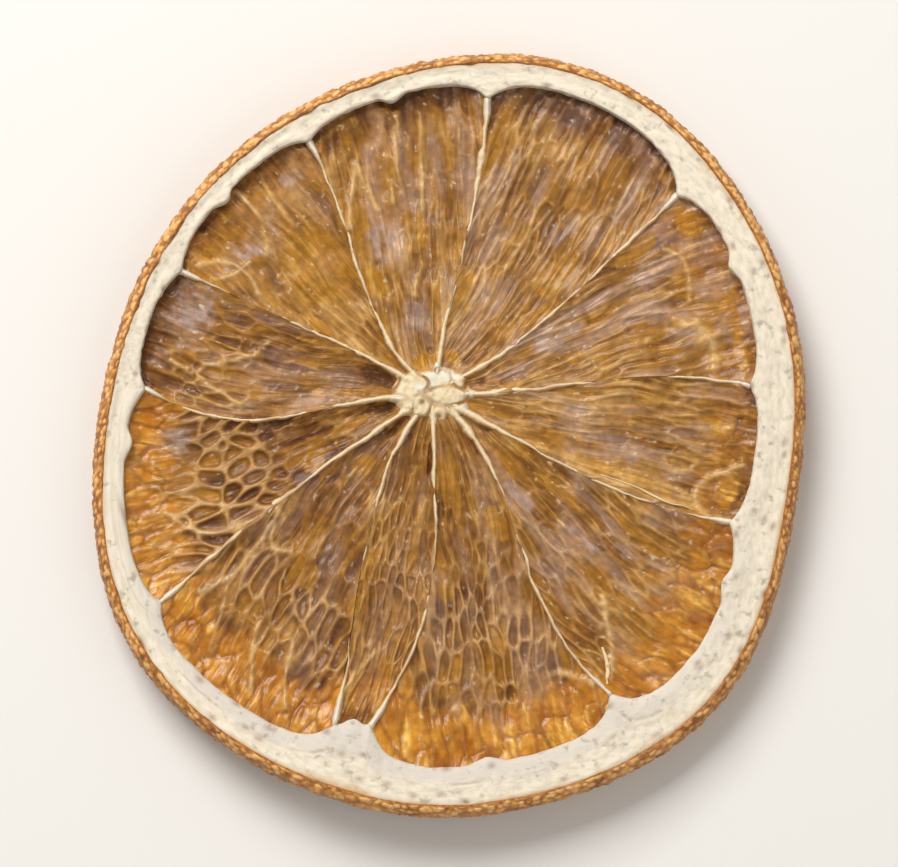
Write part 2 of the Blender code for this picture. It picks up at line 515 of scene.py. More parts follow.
# Meshes from Blender's own operators, and the pieces made of them.


def signed_volume(mesh: bpy.types.Mesh) -> float:
    """A closed mesh's volume.

    Args:
        mesh: the mesh.

    Returns:
        The volume, below zero if the faces point inwards.
    """
    places = np.empty(len(mesh.vertices) * 3)
    mesh.vertices.foreach_get("co", places)
    mesh.calc_loop_triangles()
    corners = np.empty(len(mesh.loop_triangles) * 3, dtype=np.int32)
    mesh.loop_triangles.foreach_get("vertices", corners)
    a, b, c = places.reshape(-1, 3)[corners.reshape(-1, 3)].transpose(1, 0, 2)
    return float(np.einsum("ij,ij->i", a, np.cross(b, c)).sum() / 6)


@dataclass(frozen=True)
class Blank:
    """A plain shape whose points are moved to their places on the slice.

    Attributes:
        mesh: the shape's mesh.
        places: its points, one row each.
    """

    mesh: bpy.types.Mesh
    places: np.ndarray

    @classmethod
    def of(cls, shape: bmesh.types.BMesh, name: str) -> Blank:
        """Closes a bmesh off as a blank.

        Args:
            shape: the shape, which is freed.
            name: the mesh's name.

        Returns:
            The blank.
        """
        bmesh.ops.recalc_face_normals(shape, faces=shape.faces)
        mesh = bpy.data.meshes.new(name)
        shape.to_mesh(mesh)
        shape.free()
        places = np.empty(len(mesh.vertices) * 3)
        mesh.vertices.foreach_get("co", places)
        return cls(mesh, places.reshape(-1, 3))


def pillow_blank(columns: int, rows: int) -> Blank:
    """A closed flat box with a fine grid on its upper and lower face, one unit each way.

    Args:
        columns: faces from x 0 to 1.
        rows: faces from y 0 to 1.

    Returns:
        The blank. Its z is 0 on the lower face and 1 on the upper one.
    """
    shape = bmesh.new()
    bmesh.ops.create_grid(shape, x_segments=columns, y_segments=rows, size=0.5)
    bmesh.ops.translate(shape, verts=shape.verts, vec=(0.5, 0.5, 0))
    grown = bmesh.ops.extrude_face_region(shape, geom=shape.faces[:], use_keep_orig=True)
    lifted = [item for item in grown["geom"] if isinstance(item, bmesh.types.BMVert)]
    bmesh.ops.translate(shape, verts=lifted, vec=(0, 0, 1))
    return Blank.of(shape, "pillow")


RING_RADIUS = 4.0
RING_STEPS = 70
RING_STEP = math.tau / RING_STEPS


def ring_blank(columns: int, points: int) -> Blank:
    """A torus spun from a circle of unit radius in a few wide steps, which are then divided finely.

    Args:
        columns: faces round the ring, a multiple of the wide steps.
        points: points round the section.

    Returns:
        The blank. Between two wide steps its points lie on straight lines.
    """
    shape = bmesh.new()
    bmesh.ops.create_circle(shape, segments=points, radius=1)
    bmesh.ops.rotate(shape, verts=shape.verts, cent=(0, 0, 0), matrix=Matrix.Rotation(math.pi / 2, 3, "X"))
    bmesh.ops.translate(shape, verts=shape.verts, vec=(RING_RADIUS, 0, 0))
    geometry = shape.verts[:] + shape.edges[:]
    bmesh.ops.spin(shape, geom=geometry, axis=(0, 0, 1), angle=math.tau, steps=RING_STEPS, use_merge=True)
    bmesh.ops.remove_doubles(shape, verts=shape.verts, dist=1e-5)
    chords = [edge for edge in shape.edges if abs(turned_by(edge)) > RING_STEP / 2]
    bmesh.ops.subdivide_edges(shape, edges=chords, cuts=columns // RING_STEPS - 1, use_grid_fill=True)
    return Blank.of(shape, "ring")


def turned_by(edge: bmesh.types.BMEdge) -> float:
    """How far round the ring an edge of its blank reaches, in radians."""
    start, end = (math.atan2(vertex.co.y, vertex.co.x) for vertex in edge.verts)
    return math.remainder(end - start, math.tau)


def tube_blank(rings: int, sides: int) -> Blank:
    """A closed tube of unit radius along z from 0 to 1.

    Args:
        rings: faces along it.
        sides: faces round it.

    Returns:
        The blank.
    """
    shape = bmesh.new()
    bmesh.ops.create_cone(shape, cap_ends=True, cap_tris=False, segments=sides, radius1=1, radius2=1, depth=1)
    bmesh.ops.translate(shape, verts=shape.verts, vec=(0, 0, 0.5))
    long_edges = [edge for edge in shape.edges if abs(edge.verts[0].co.z - edge.verts[1].co.z) > 0.5]
    bmesh.ops.subdivide_edges(shape, edges=long_edges, cuts=rings - 1, use_grid_fill=True)
    return Blank.of(shape, "tube")


def ball_blank(columns: int, rows: int) -> Blank:
    """A unit ball with closed poles.

    Args:
        columns: faces round it.
        rows: faces from pole to pole.

    Returns:
        The blank.
    """
    shape = bmesh.new()
    bmesh.ops.create_uvsphere(shape, u_segments=columns, v_segments=rows, radius=1)
    return Blank.of(shape, "ball")


def make_piece(
    name: str, blank: Blank, places: np.ndarray, material: bpy.types.Material, masks: Masks
) -> bpy.types.Object:
    """Shapes a blank into a finished piece that rides with the slice and stands for its solid.

    Args:
        name: the piece's name.
        blank: the plain shape.
        places: where its points go, in mm.
        material: the finish.
        masks: numbers at each point that the finish reads, one or three to a point.

    Returns:
        The piece's object.
    """
    mesh = blank.mesh.copy()
    mesh.name = name
    mesh.vertices.foreach_set("co", (places * MM).astype(np.float32).ravel())
    for mask, values in masks.items():
        kind, key = ("FLOAT", "value") if values.ndim == 1 else ("FLOAT_VECTOR", "vector")
        layer = mesh.attributes.new(mask, kind, "POINT")
        layer.data.foreach_set(key, values.astype(np.float32).ravel())
    mesh.update()
    if signed_volume(mesh) < 0:
        mesh.flip_normals()
    mesh.shade_smooth()
    mesh.materials.append(material)
    piece = bpy.data.objects.new(name, mesh)
    bpy.context.scene.collection.objects.link(piece)
    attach(piece, BODY)
    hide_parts(NODE)
    return piece


# Finishes.


def linear(code: str) -> tuple[float, float, float, float]:
    """An sRGB hex colour as the linear values that a shader takes.

    Args:
        code: the colour, as six hex digits.

    Returns:
        Its linear red, green and blue, and an alpha of 1.
    """
    srgb = [int(code[n : n + 2], 16) / 255 for n in (0, 2, 4)]
    red, green, blue = (c / 12.92 if c < 0.04045 else ((c + 0.055) / 1.055) ** 2.4 for c in srgb)
    return red, green, blue, 1.0


def add_node(
    tree: bpy.types.NodeTree,
    kind: str,
    inputs: dict[int | str, Any] | None = None,
    stops: tuple[tuple[float, str], ...] = (),
    **settings: Any,
) -> bpy.types.Node:
    """Adds a shader node with its settings and links.

    Args:
        tree: the material's node tree.
        kind: the node's type.
        inputs: for each socket, a value or another node's output to link to it.
        stops: a colour ramp's stops as (position, hex colour).
        **settings: the node's own properties.

    Returns:
        The node.
    """
    made = tree.nodes.new(kind)
    for name, value in settings.items():
        setattr(made, name, value)
    for place, (position, code) in enumerate(stops):
        ramp = made.color_ramp.elements
        stop = ramp[place] if place < 2 else ramp.new(position)
        stop.position, stop.color = position, linear(code)
    for socket, value in (inputs or {}).items():
        if isinstance(value, bpy.types.NodeSocket):
            tree.links.new(value, made.inputs[socket])
        else:
            made.inputs[socket].default_value = value
    return made


def per(size_mm: float) -> float:
    """The scale of a pattern on metre coordinates whose features are this many mm wide."""
    return 1 / (size_mm * MM)


class Layers:
    """A material while it is made: its tree and shader, and the steps that its finishes share."""

    def __init__(self, name: str, **sockets: Any) -> None:
        """Starts a material with fixed values on the shader's own sockets.

        Args:
            name: the material's name.
            **sockets: the shader's sockets, with underscores for spaces.
        """
        self.material = bpy.data.materials.new(name)
        self.material.use_nodes = True
        self.tree = self.material.node_tree
        self.shader = self.tree.nodes["Principled BSDF"]
        for socket, value in sockets.items():
            self.shader.inputs[socket.replace("_", " ")].default_value = value
        self.place = add_node(self.tree, "ShaderNodeTexCoord").outputs["Object"]

    def mask(self, name: str) -> bpy.types.NodeSocket:
        """One of the piece's masks."""
        return add_node(self.tree, "ShaderNodeAttribute", attribute_name=name).outputs["Fac"]

    def vector(self, name: str) -> bpy.types.NodeSocket:
        """One of the piece's three-number masks."""
        return add_node(self.tree, "ShaderNodeAttribute", attribute_name=name).outputs["Vector"]

    def speckle(self, where: bpy.types.NodeSocket, scale: float, detail: float = 2.0) -> bpy.types.NodeSocket:
        """Noise from 0 to 1 at a scale on the given coordinates."""
        inputs = {"Vector": where, "Scale": scale, "Detail": detail}
        return add_node(self.tree, "ShaderNodeTexNoise", inputs).outputs["Fac"]

    def ramp(self, share: bpy.types.NodeSocket, *stops: tuple[float, str]) -> bpy.types.NodeSocket:
        """A colour for each share, by the stops."""
        return add_node(self.tree, "ShaderNodeValToRGB", {"Fac": share}, stops).outputs["Color"]

    def spread(self, value: Any, low: float, high: float, to_low: float = 0.0, to_high: float = 1.0) -> Any:
        """A value moved from one range to another, and held inside it."""
        inputs = {"Value": value, 1: low, 2: high, 3: to_low, 4: to_high}
        return add_node(self.tree, "ShaderNodeMapRange", inputs).outputs["Result"]

    def sum(self, first: Any, second: Any, how: str = "ADD") -> Any:
        """Two values put together by a maths operation."""
        return add_node(self.tree, "ShaderNodeMath", {0: first, 1: second}, operation=how).outputs[0]

    def cover(self, under: Any, over: Any, share: Any, how: str = "MIX") -> Any:
        """One colour laid over another.

        Args:
            under: the lower colour.
            over: the upper colour, as hex or a socket.
            share: how far it covers.
            how: the way they mix.

        Returns:
            The mixed colour.
        """
        over = linear(over) if isinstance(over, str) else over
        inputs = {0: share, 6: under, 7: over}
        return add_node(self.tree, "ShaderNodeMix", inputs, data_type="RGBA", blend_type=how).outputs[2]

    def finish(self, colour: Any, roughness: Any, height: Any, depth_mm: float) -> bpy.types.Material:
        """Joins the colour, roughness and bump to the shader.

        Args:
            colour: the base colour.
            roughness: the roughness.
            height: the bump's height from 0 to 1.
            depth_mm: what a height of 1 is worth.

        Returns:
            The finished material.
        """
        inputs = {"Height": height, "Distance": depth_mm * MM, "Strength": 1.0}
        bump = add_node(self.tree, "ShaderNodeBump", inputs).outputs["Normal"]
        for socket, value in (("Base Color", colour), ("Roughness", roughness), ("Normal", bump)):
            self.tree.links.new(value, self.shader.inputs[socket])
        return self.material


@dataclass(frozen=True)
class DriedPulp:
    """Dried juice cells: thin amber walls drawn tight over one another, half glossy, a bit see-through."""

    inside: str = "5C2F08"
    middle: str = "8F5F20"
    wall: str = "CC9D5A"
    # A greyish skin colour, partly a painted sheen of light on glossy folds.
    skin_and_sheen: str = "B4998C"
    amber: str = "AE761C"
    # The orange of the full cells at the rind, with a painted glow of light shining through them: darker
    # between the lobes, brighter on them.
    ember: str = "9C5608"
    fullness_and_glow: str = "CC8414"
    # A painted highlight on the full cells and the clear windows.
    painted_highlight: str = "F0C468"
    # Painted shade, for drained hollows, cell bottoms, creases and the gap under the rind.
    deep: str = "4E2608"
    # Small pale painted glints of light.
    painted_glint: str = "EFDDBE"

    def material(self) -> bpy.types.Material:
        """Builds the material, whose fine grain runs along the juice cells.

        Returns:
            The material.
        """
        layers = Layers(
            "dried_juice_cells",
            IOR=1.45,
            Specular_IOR_Level=0.26,
            Subsurface_Weight=0.2,
            Subsurface_Radius=(1.0, 0.5, 0.2),
            Subsurface_Scale=0.5 * MM,
            Coat_Weight=0.16,
            Coat_Roughness=0.14,
        )
        grain = layers.speckle(layers.vector("grain"), 1.0, 3.0)
        away = layers.sum(layers.speckle(layers.vector("grain"), 0.32, 3.0), 0.5, "SUBTRACT")
        wrinkle = layers.spread(layers.sum(away, 0.0, "ABSOLUTE"), 0.0, 0.08, 1.0, 0.0)
        share = layers.sum(layers.mask("wall"), layers.spread(grain, 0.3, 0.7, -0.09, 0.09))
        share = layers.sum(share, layers.sum(wrinkle, 0.14, "MULTIPLY"))
        share = layers.sum(share, layers.mask("tone"))
        colour = layers.ramp(share, (0.0, self.inside), (0.42, self.middle), (1.0, self.wall))
        # Several of these colours are painted light: the orange glow, the highlights, the glints, the dark
        # shade and part of the grey skin.
        for name in ("amber", "ember", "fullness_and_glow", "skin_and_sheen", "deep", "painted_highlight", "painted_glint"):
            colour = layers.cover(colour, getattr(self, name), layers.mask(name))
        dapple = layers.spread(layers.speckle(layers.place, per(0.6), 4.0), 0.35, 0.65, 0.8, 1.14)
        colour = layers.cover(colour, dapple, 1.0, "MULTIPLY")
        roughness = layers.spread(grain, 0.3, 0.7, 0.4, 0.58)
        roughness = layers.sum(roughness, layers.sum(layers.mask("gloss"), 0.2, "MULTIPLY"), "SUBTRACT")
        height = layers.sum(grain, layers.sum(wrinkle, 0.6, "MULTIPLY"))
        return layers.finish(colour, roughness, height, 0.045)


@dataclass(frozen=True)
class DriedPith:
    """Dried pith: chalky white and spongy, cut across, with fine fibres, pores and a few brown glands, and
    painted shade on its slopes, sides, pits and groove.
    """

    name: str = "dried_white_pith"
    pale: str = "E6DAC5"
    body: str = "D3C6AF"
    pore: str = "A09280"
    edge: str = "CDA068"
    # The brown of cut oil glands, also painted as dark shade in pits, in the pith's groove and in the core's
    # creases.
    gland_and_shade: str = "80532A"
    # A greyish tint, painted as shade on the pith's gently sloping inner edge and on its sides.
    cool_tint_and_shade: str = "CCC3B8"
    bump: float = 0.07

    def material(self) -> bpy.types.Material:
        """Builds the material, whose fibres run along the rind.

        Returns:
            The material.
        """
        layers = Layers(
            self.name,
            Subsurface_Weight=0.25,
            Subsurface_Radius=(1.0, 0.8, 0.6),
            Subsurface_Scale=0.5 * MM,
            Specular_IOR_Level=0.3,
        )
        fibre = layers.speckle(layers.vector("grain"), 1.0, 4.0)
        pores = layers.speckle(layers.place, per(0.7), 5.0)
        colour = layers.ramp(fibre, (0.3, self.body), (0.6, self.pale))
        colour = layers.cover(colour, self.cool_tint_and_shade, layers.mask("cool_tint_and_shade"))
        colour = layers.cover(colour, self.pore, layers.spread(pores, 0.58, 0.72, 0.0, 0.75))
        colour = layers.cover(colour, self.edge, layers.mask("edge"))
        colour = layers.cover(colour, self.gland_and_shade, layers.mask("gland_and_shade"))
        roughness = layers.spread(fibre, 0.0, 1.0, 0.8, 0.95)
        height = layers.sum(fibre, layers.sum(pores, 0.8, "MULTIPLY"), "SUBTRACT")
        return layers.finish(colour, roughness, height, self.bump)


@dataclass(frozen=True)
class DriedPeel:
    """Dried orange peel: its oil glands stand out as small golden beads in brown, leathery valleys, with
    painted highlights on the beads and painted shade between them.
    """

    # The bead colour carries a painted highlight, and the valley colour the peel's brown with painted shade.
    bead_and_highlight: str = "E4AE66"
    slope: str = "BC7E38"
    valley_and_shade: str = "86501E"

    def material(self) -> bpy.types.Material:
        """Builds the material.

        Returns:
            The material.
        """
        layers = Layers("dried_beaded_peel", Coat_Weight=0.15, Coat_Roughness=0.2, Specular_IOR_Level=0.35)
        dust = layers.speckle(layers.place, per(0.3), 3.0)
        share = layers.sum(layers.mask("bead_and_highlight"), layers.spread(dust, 0.3, 0.7, -0.15, 0.15))
        colour = layers.ramp(share, (0.05, self.valley_and_shade), (0.35, self.slope), (0.75, self.bead_and_highlight))
        roughness = layers.spread(share, 0.0, 1.0, 0.62, 0.42)
        return layers.finish(colour, roughness, dust, 0.05)


@dataclass(frozen=True)
class DriedMembrane:
    """Dried membrane: a thin, pale skin standing on edge, creamy on its crest and tan at its foot; the paler
    crest and darker sides are partly painted light and shade.
    """

    name: str = "dried_segment_skin"
    crest: str = "E2C9A2"
    foot: str = "A87C48"
    stain: str = "BA915F"
    chalk: str = "E0D6C4"

    def material(self) -> bpy.types.Material:
        """Builds the material.

        Returns:
            The material.
        """
        layers = Layers(
            self.name,
            Subsurface_Weight=0.2,
            Subsurface_Radius=(1.0, 0.6, 0.35),
            Subsurface_Scale=0.4 * MM,
            Coat_Weight=0.1,
        )
        fibre = layers.speckle(layers.place, per(0.3), 3.0)
        share = layers.sum(layers.mask("crest"), layers.spread(fibre, 0.3, 0.7, -0.12, 0.12))
        colour = layers.ramp(share, (0.15, self.foot), (0.85, self.crest))
        colour = layers.cover(colour, self.stain, layers.mask("stain"))
        colour = layers.cover(colour, self.chalk, layers.mask("chalk"))
        roughness = layers.spread(fibre, 0.0, 1.0, 0.55, 0.75)
        return layers.finish(colour, roughness, fibre, 0.05)


# The rind.


def direction_and_turn(blank: Blank) -> tuple[np.ndarray, np.ndarray]:
    """Where each point of a ring blank is.

    Args:
        blank: the ring.

    Returns:
        Each point's direction round the ring in radians, and its share of the way round the section.
    """
    x, y, z = blank.places.T
    direction = np.arctan2(y, x)
    off_middle = np.mod(direction, RING_STEP) - RING_STEP / 2
    distance = np.hypot(x, y) * np.cos(off_middle) / math.cos(RING_STEP / 2)
    return direction, np.mod(np.arctan2(z, RING_RADIUS - distance) / math.tau, 1)


def round_section(turn: np.ndarray, stations: Stations) -> tuple[np.ndarray, np.ndarray]:
    """A closed section's two coordinates, a share of the way round it, with its corners rounded.

    Args:
        turn: the share round the section.
        stations: (turn, first coordinate, second coordinate) at its corners.

    Returns:
        The two coordinates at each place.
    """
    steps = np.linspace(0, 1, 721)[:-1]
    at = [station[0] for station in stations]
    smoothed = []
    for part in (1, 2):
        values = np.interp(steps, at, [station[part] for station in stations], period=1)
        for _ in range(3):
            values = sum(np.roll(values, shift) for shift in range(-4, 5)) / 9
        smoothed.append(np.interp(turn, steps, values, period=1))
    return smoothed[0], smoothed[1]


@dataclass
class Rind:
    """The raised rim: a ring of white pith with a skin of beaded peel round it."""

    form: SliceForm
    pith_finish: DriedPith = field(default_factory=DriedPith)
    peel_finish: DriedPeel = field(default_factory=DriedPeel)
    pith_columns: int = 1400
    pith_points: int = 70
    peel_columns: int = 1750
    peel_points: int = 56
    bead_spacing: float = 0.58
    bead_height: float = 0.17
    groove_share: float = 0.45
    peel_round: float = 5.5
    soft_edge_direction: float = -95
    soft_edge_spread: float = 62

    # Round the pith's section: the share round it, the share from the inner edge to the outer one, the level.
    pith_stations: Stations = (
        (0.0, 0.03, 0.0),
        (0.06, 0.01, 0.7),
        (0.10, 0.015, 0.9),
        (0.14, 0.05, 0.975),
        (0.19, 0.16, 0.995),
        (0.40, 0.97, 0.985),
        (0.43, 1.0, 0.85),
        (0.5, 1.0, 0.0),
        (0.57, 1.0, -0.85),
        (0.60, 0.97, -0.985),
        (0.81, 0.16, -0.995),
        (0.86, 0.05, -0.975),
        (0.90, 0.015, -0.9),
        (0.94, 0.01, -0.7),
    )

    # Round the peel's section: the share round it, how far in from the outline in mm, the level.
    peel_stations: Stations = (
        (0.0, 1.3, 0.0),
        (0.05, 1.2, 0.85),
        (0.09, 1.0, 0.97),
        (0.13, 0.84, 0.995),
        (0.2, 0.60, 0.93),
        (0.28, 0.36, 0.76),
        (0.36, 0.22, 0.48),
        (0.5, 0.14, 0.0),
        (0.64, 0.19, -0.4),
        (0.72, 0.25, -0.6),
        (0.8, 0.36, -0.82),
        (0.87, 0.52, -0.99),
        (0.91, 0.7, -0.97),
        (0.95, 1.2, -0.85),
    )

    def build(self) -> list[bpy.types.Object]:
        """Makes the pith and the peel."""
        return [self.build_pith(), self.build_peel()]

    def soft_edge(self, direction: np.ndarray) -> np.ndarray:
        """Where the pith slopes down gently to the pulp, from 0 to 1."""
        away = np.mod(np.degrees(direction) - self.soft_edge_direction + 180, 360) - 180
        return np.exp(-((away / self.soft_edge_spread) ** 2))

    def build_pith(self) -> bpy.types.Object:
        """Makes the ring of pith, whose inner edge comes to a point at each membrane.

        Returns:
            The piece.
        """
        form, blank = self.form, ring_blank(self.pith_columns, self.pith_points)
        direction, turn = direction_and_turn(blank)
        number, across, span = form.segment_at(direction)
        share, level = round_section(turn, self.pith_stations)
        plain = form.inner(direction)
        arc, drift = np.abs(direction) * plain, 3 * np.sin(direction)
        inset = form.pith_inset(number, across, plain * span)
        ragged = 0.09 * layered(arc / 2.3, level * 0.6 + drift, 31)
        ragged += 0.04 * ripple(arc / 0.5, level * 2 + drift, 35)
        inner = plain - inset + ragged
        outer = form.outer(direction) - blend(0.55, 0.86, between(level, -0.5, 0.5))
        width = outer - inner
        soft = self.soft_edge(direction) * (level > 0)
        radius = inner + width * share
        x, y = form.flat_place(direction, radius)
        depth = (radius - inner) / 1.3
        top = np.abs(level) * form.rind_half_height
        border = self.groove_share + 0.05 * layered(arc / 4, drift, 73)
        slope = 0.1 * np.exp(-depth * 1.6) + 0.55 * soft * np.clip(1 - share / border, 0, 1)
        bevel = slope * between(np.abs(level), 0.5, 0.95)
        fibres = 0.03 * layered(arc / 1.2, (outer - radius) / 0.4 + drift, 41)
        fibres += 0.035 * layered(arc / 1.1, radius / 1.1, 47)
        pits = cell_pattern(arc / 1.9, radius / 1.3, 1.9, 1.3, 53)
        pit = np.exp(-((pits.centre / 0.17) ** 2)) * (pits.tint > 0.55)
        face = between(np.abs(level), 0.75, 0.95)
        dip = 0.1 * between(share, 0.2, 0.55) * (1 - between(share, 0.6, 0.95))
        lump = form.rind_lumps(x, y, level)
        top = top - bevel + face * (fibres - 0.1 * pit - dip) + lump
        radius = radius + (1 - face) * 0.04 * layered(arc / 0.5, level * 3 + drift, 61)
        x, y = form.flat_place(direction, radius)
        z = form.curl(x, y) + np.sign(level) * top
        glands = cell_pattern(arc / 2.3, (outer - radius) / 1.1 + drift, 2.3, 1.1, 71)
        gland_and_shade = np.exp(-((glands.centre / 0.2) ** 2)) * (glands.tint > 0.72) * between(share, 0.78, 0.9)
        z = z - np.sign(level) * 0.12 * gland_and_shade * face
        broken = between(layered(arc / 1.3, share * 3 + drift, 75), -0.3, 0.2)
        groove = np.exp(-(((share - border) / 0.022) ** 2)) * soft * broken
        wandering = share + 0.2 * layered(arc / 1.1, share * 2.5 + drift, 81)
        # Where the pith's gentle inner slope is painted with grey shade.
        sloping = soft * (1 - between(wandering, border - 0.2, border + 0.12))
        z = z - np.sign(level) * 0.14 * groove * face
        grey = 0.5 + 0.5 * layered(arc / 1.4, radius / 0.5, 79)
        masks = {
            "edge": 0.8 * between(share + 0.06 * layered(arc / 0.9, level + drift, 77), 0.84, 1.0),
            # Brown glands, with painted shade in the pits and the groove.
            "gland_and_shade": np.clip(0.8 * gland_and_shade + 0.5 * pit * face * (pits.second > 0.5) + 0.4 * groove, 0, 0.8),
            # Painted grey shade on the gentle inner slope and on the ring's sides, with grey mottling.
            "cool_tint_and_shade": np.clip(0.85 * sloping + 0.15 * (1 - face) + 0.35 * between(grey, 0.62, 0.9), 0, 0.8),
            "grain": np.column_stack([arc / 0.7, (outer - radius) / 0.35, level * 3 + drift]),
        }
        places = grounded(form, x, y, z)
        return make_piece("pith", blank, places, self.pith_finish.material(), masks)

    def build_peel(self) -> bpy.types.Object:
        """Makes the skin of peel, with its beads of dried oil glands.

        Returns:
            The piece.
        """
        form, blank = self.form, ring_blank(self.peel_columns, self.peel_points)
        direction, turn = direction_and_turn(blank)
        inset, level = round_section(turn, self.peel_stations)
        x, y = form.flat_place(direction, form.outer(direction))
        seen = np.arctan2(y, x)
        arc, drift = np.abs(seen) * form.outline_radius, 3 * np.sin(seen)
        around = turn * self.peel_round + drift
        outside = between(np.minimum(turn, 1 - turn), 0.08, 0.13)
        size_u, size_v = self.bead_spacing, self.bead_spacing * 0.9
        beads = cell_pattern(arc / size_u, around / size_v, size_u, size_v, 83, 0.95)
        size = 0.6 + 0.4 * beads.tint
        dome = np.clip(1 - (beads.centre / (0.66 * size)) ** 2, 0, 1) ** 0.8
        rough = 0.1 * layered(arc / 1.2, around / 1.2, 89) + 0.05 * layered(arc / 0.45, around / 0.45, 93)
        bump = outside * (self.bead_height * dome * size + rough)
        wave = 0.09 * layered(arc / 3.1, drift, 97) + 0.05 * ripple(arc / 0.8, drift, 99)
        top_lip = between(level, 0.75, 0.97) * (inset > 0.5)
        radius = form.outline(seen) - inset + wave * top_lip
        lean = between(np.abs(level), 0.45, 0.98)
        radius = radius + bump * (1 - 0.7 * lean)
        x, y = radius * np.cos(seen), radius * np.sin(seen)
        lump = form.rind_lumps(x, y, level)
        z = form.curl(x, y) + level * form.rind_half_height + np.sign(level) * (lump + bump * lean * 0.7)
        # The beads' tops and the rim's upper and lower faces are painted lighter, as highlights; the valleys
        # between stay dark, as painted shade.
        edge_light = between(np.abs(level), 0.55, 0.95)
        shown = 0.2 + blend(0.3, 0.75, edge_light) * dome * (0.3 + beads.second)
        shown += 0.3 * layered(arc / 1.9, around / 1.1, 101)
        masks = {"bead_and_highlight": np.clip(blend(0.12, shown, between(np.minimum(turn, 1 - turn), 0.10, 0.15)), 0, 1)}
        places = grounded(form, x, y, z)
        return make_piece("peel", blank, places, self.peel_finish.material(), masks)


def grounded(form: SliceForm, x: np.ndarray, y: np.ndarray, z: np.ndarray) -> np.ndarray:
    """Places in the frame, with what would go below the ground worn flat on it.

    Args:
        form: the slice's shape.
        x: the places' x in mm.
        y: the places' y in mm.
        z: the places' z in mm.

    Returns:
        One row for each place, in mm.
    """
    places = np.column_stack([x, y, z]) + form.offset
    places[:, 2] = np.maximum(places[:, 2], 0)
    return places


# The pulp.


@dataclass(frozen=True)
class Flesh:
    """How the juice cells of a segment have dried.

    Attributes:
        width: a cell's width in mm, two thirds of the way out.
        length: a cell's length in mm, there too.
        comb: how far the cells have opened into a honeycomb instead of drying flat, from 0 to 1.
        opens: the share of the way out where they start to open.
        folds: how deep its folds are, against the others.
        skin_and_sheen: how much of it is covered by a greyish skin, partly a painted sheen, from 0 to 1.
        fullness_and_glow: how full its outer end is, and how strongly it gets a painted orange glow of light
            shining through it, from 0 to 1.
        tone: how much paler it is than the others.
    """

    width: float
    length: float
    comb: float
    opens: float
    folds: float
    skin_and_sheen: float
    fullness_and_glow: float
    tone: float = 0.0


FLESH = (
    Flesh(0.90, 4.0, 0.15, 0.4, 1.5, 0.50, 0.30, -0.01),
    Flesh(0.65, 3.6, 0.20, 0.3, 0.9, 0.35, 0.00, -0.03),
    Flesh(0.80, 4.6, 0.10, 0.4, 1.2, 0.40, 0.00, 0.00),
    Flesh(0.75, 4.2, 0.10, 0.4, 0.7, 0.15, 0.15, -0.05),
    Flesh(0.90, 2.2, 0.30, 0.4, 0.9, 0.25, 0.10, -0.15),
    Flesh(1.20, 1.8, 0.90, 0.35, 0.7, 0.10, 0.95, -0.10),
    Flesh(0.90, 1.9, 0.70, 0.45, 0.8, 0.15, 1.00, -0.15),
    Flesh(0.65, 2.0, 0.40, 0.3, 0.9, 0.15, 0.40, -0.11),
    Flesh(0.75, 1.8, 0.60, 0.3, 0.8, 0.22, 0.95, -0.09),
    Flesh(0.75, 2.6, 0.35, 0.3, 1.3, 0.38, 0.80, -0.03),
    Flesh(0.85, 3.8, 0.15, 0.4, 1.0, 0.40, 0.30, 0.05),
)

# Places along a line, each as (distance in mm, direction in degrees) from the core's centre.
Line = tuple[tuple[float, float], ...]


def smooth_path(form: SliceForm, points: Line, steps: int) -> tuple[np.ndarray, np.ndarray]:
    """A line through the points with its corners rounded.

    Args:
        form: the slice's shape.
        points: the points.
        steps: how many steps the line is divided into.

    Returns:
        The line's x and y at each end of a step, in mm.
    """
    at, knots = np.linspace(0, 1, steps + 1), np.linspace(0, 1, len(points))
    distance, degrees = (np.interp(at, knots, values) for values in np.array(points).T)
    for _ in range(1 + steps // 8):
        distance[1:-1] = (distance[:-2] + distance[2:]) / 2
        degrees[1:-1] = (degrees[:-2] + degrees[2:]) / 2
    return form.flat_place(np.radians(degrees), distance)


# A patch on the upper face: its distance in mm and direction from the core's centre, its half length along
# that direction and its half width in mm, and how strong it is.
Patch = tuple[float, float, float, float, float]


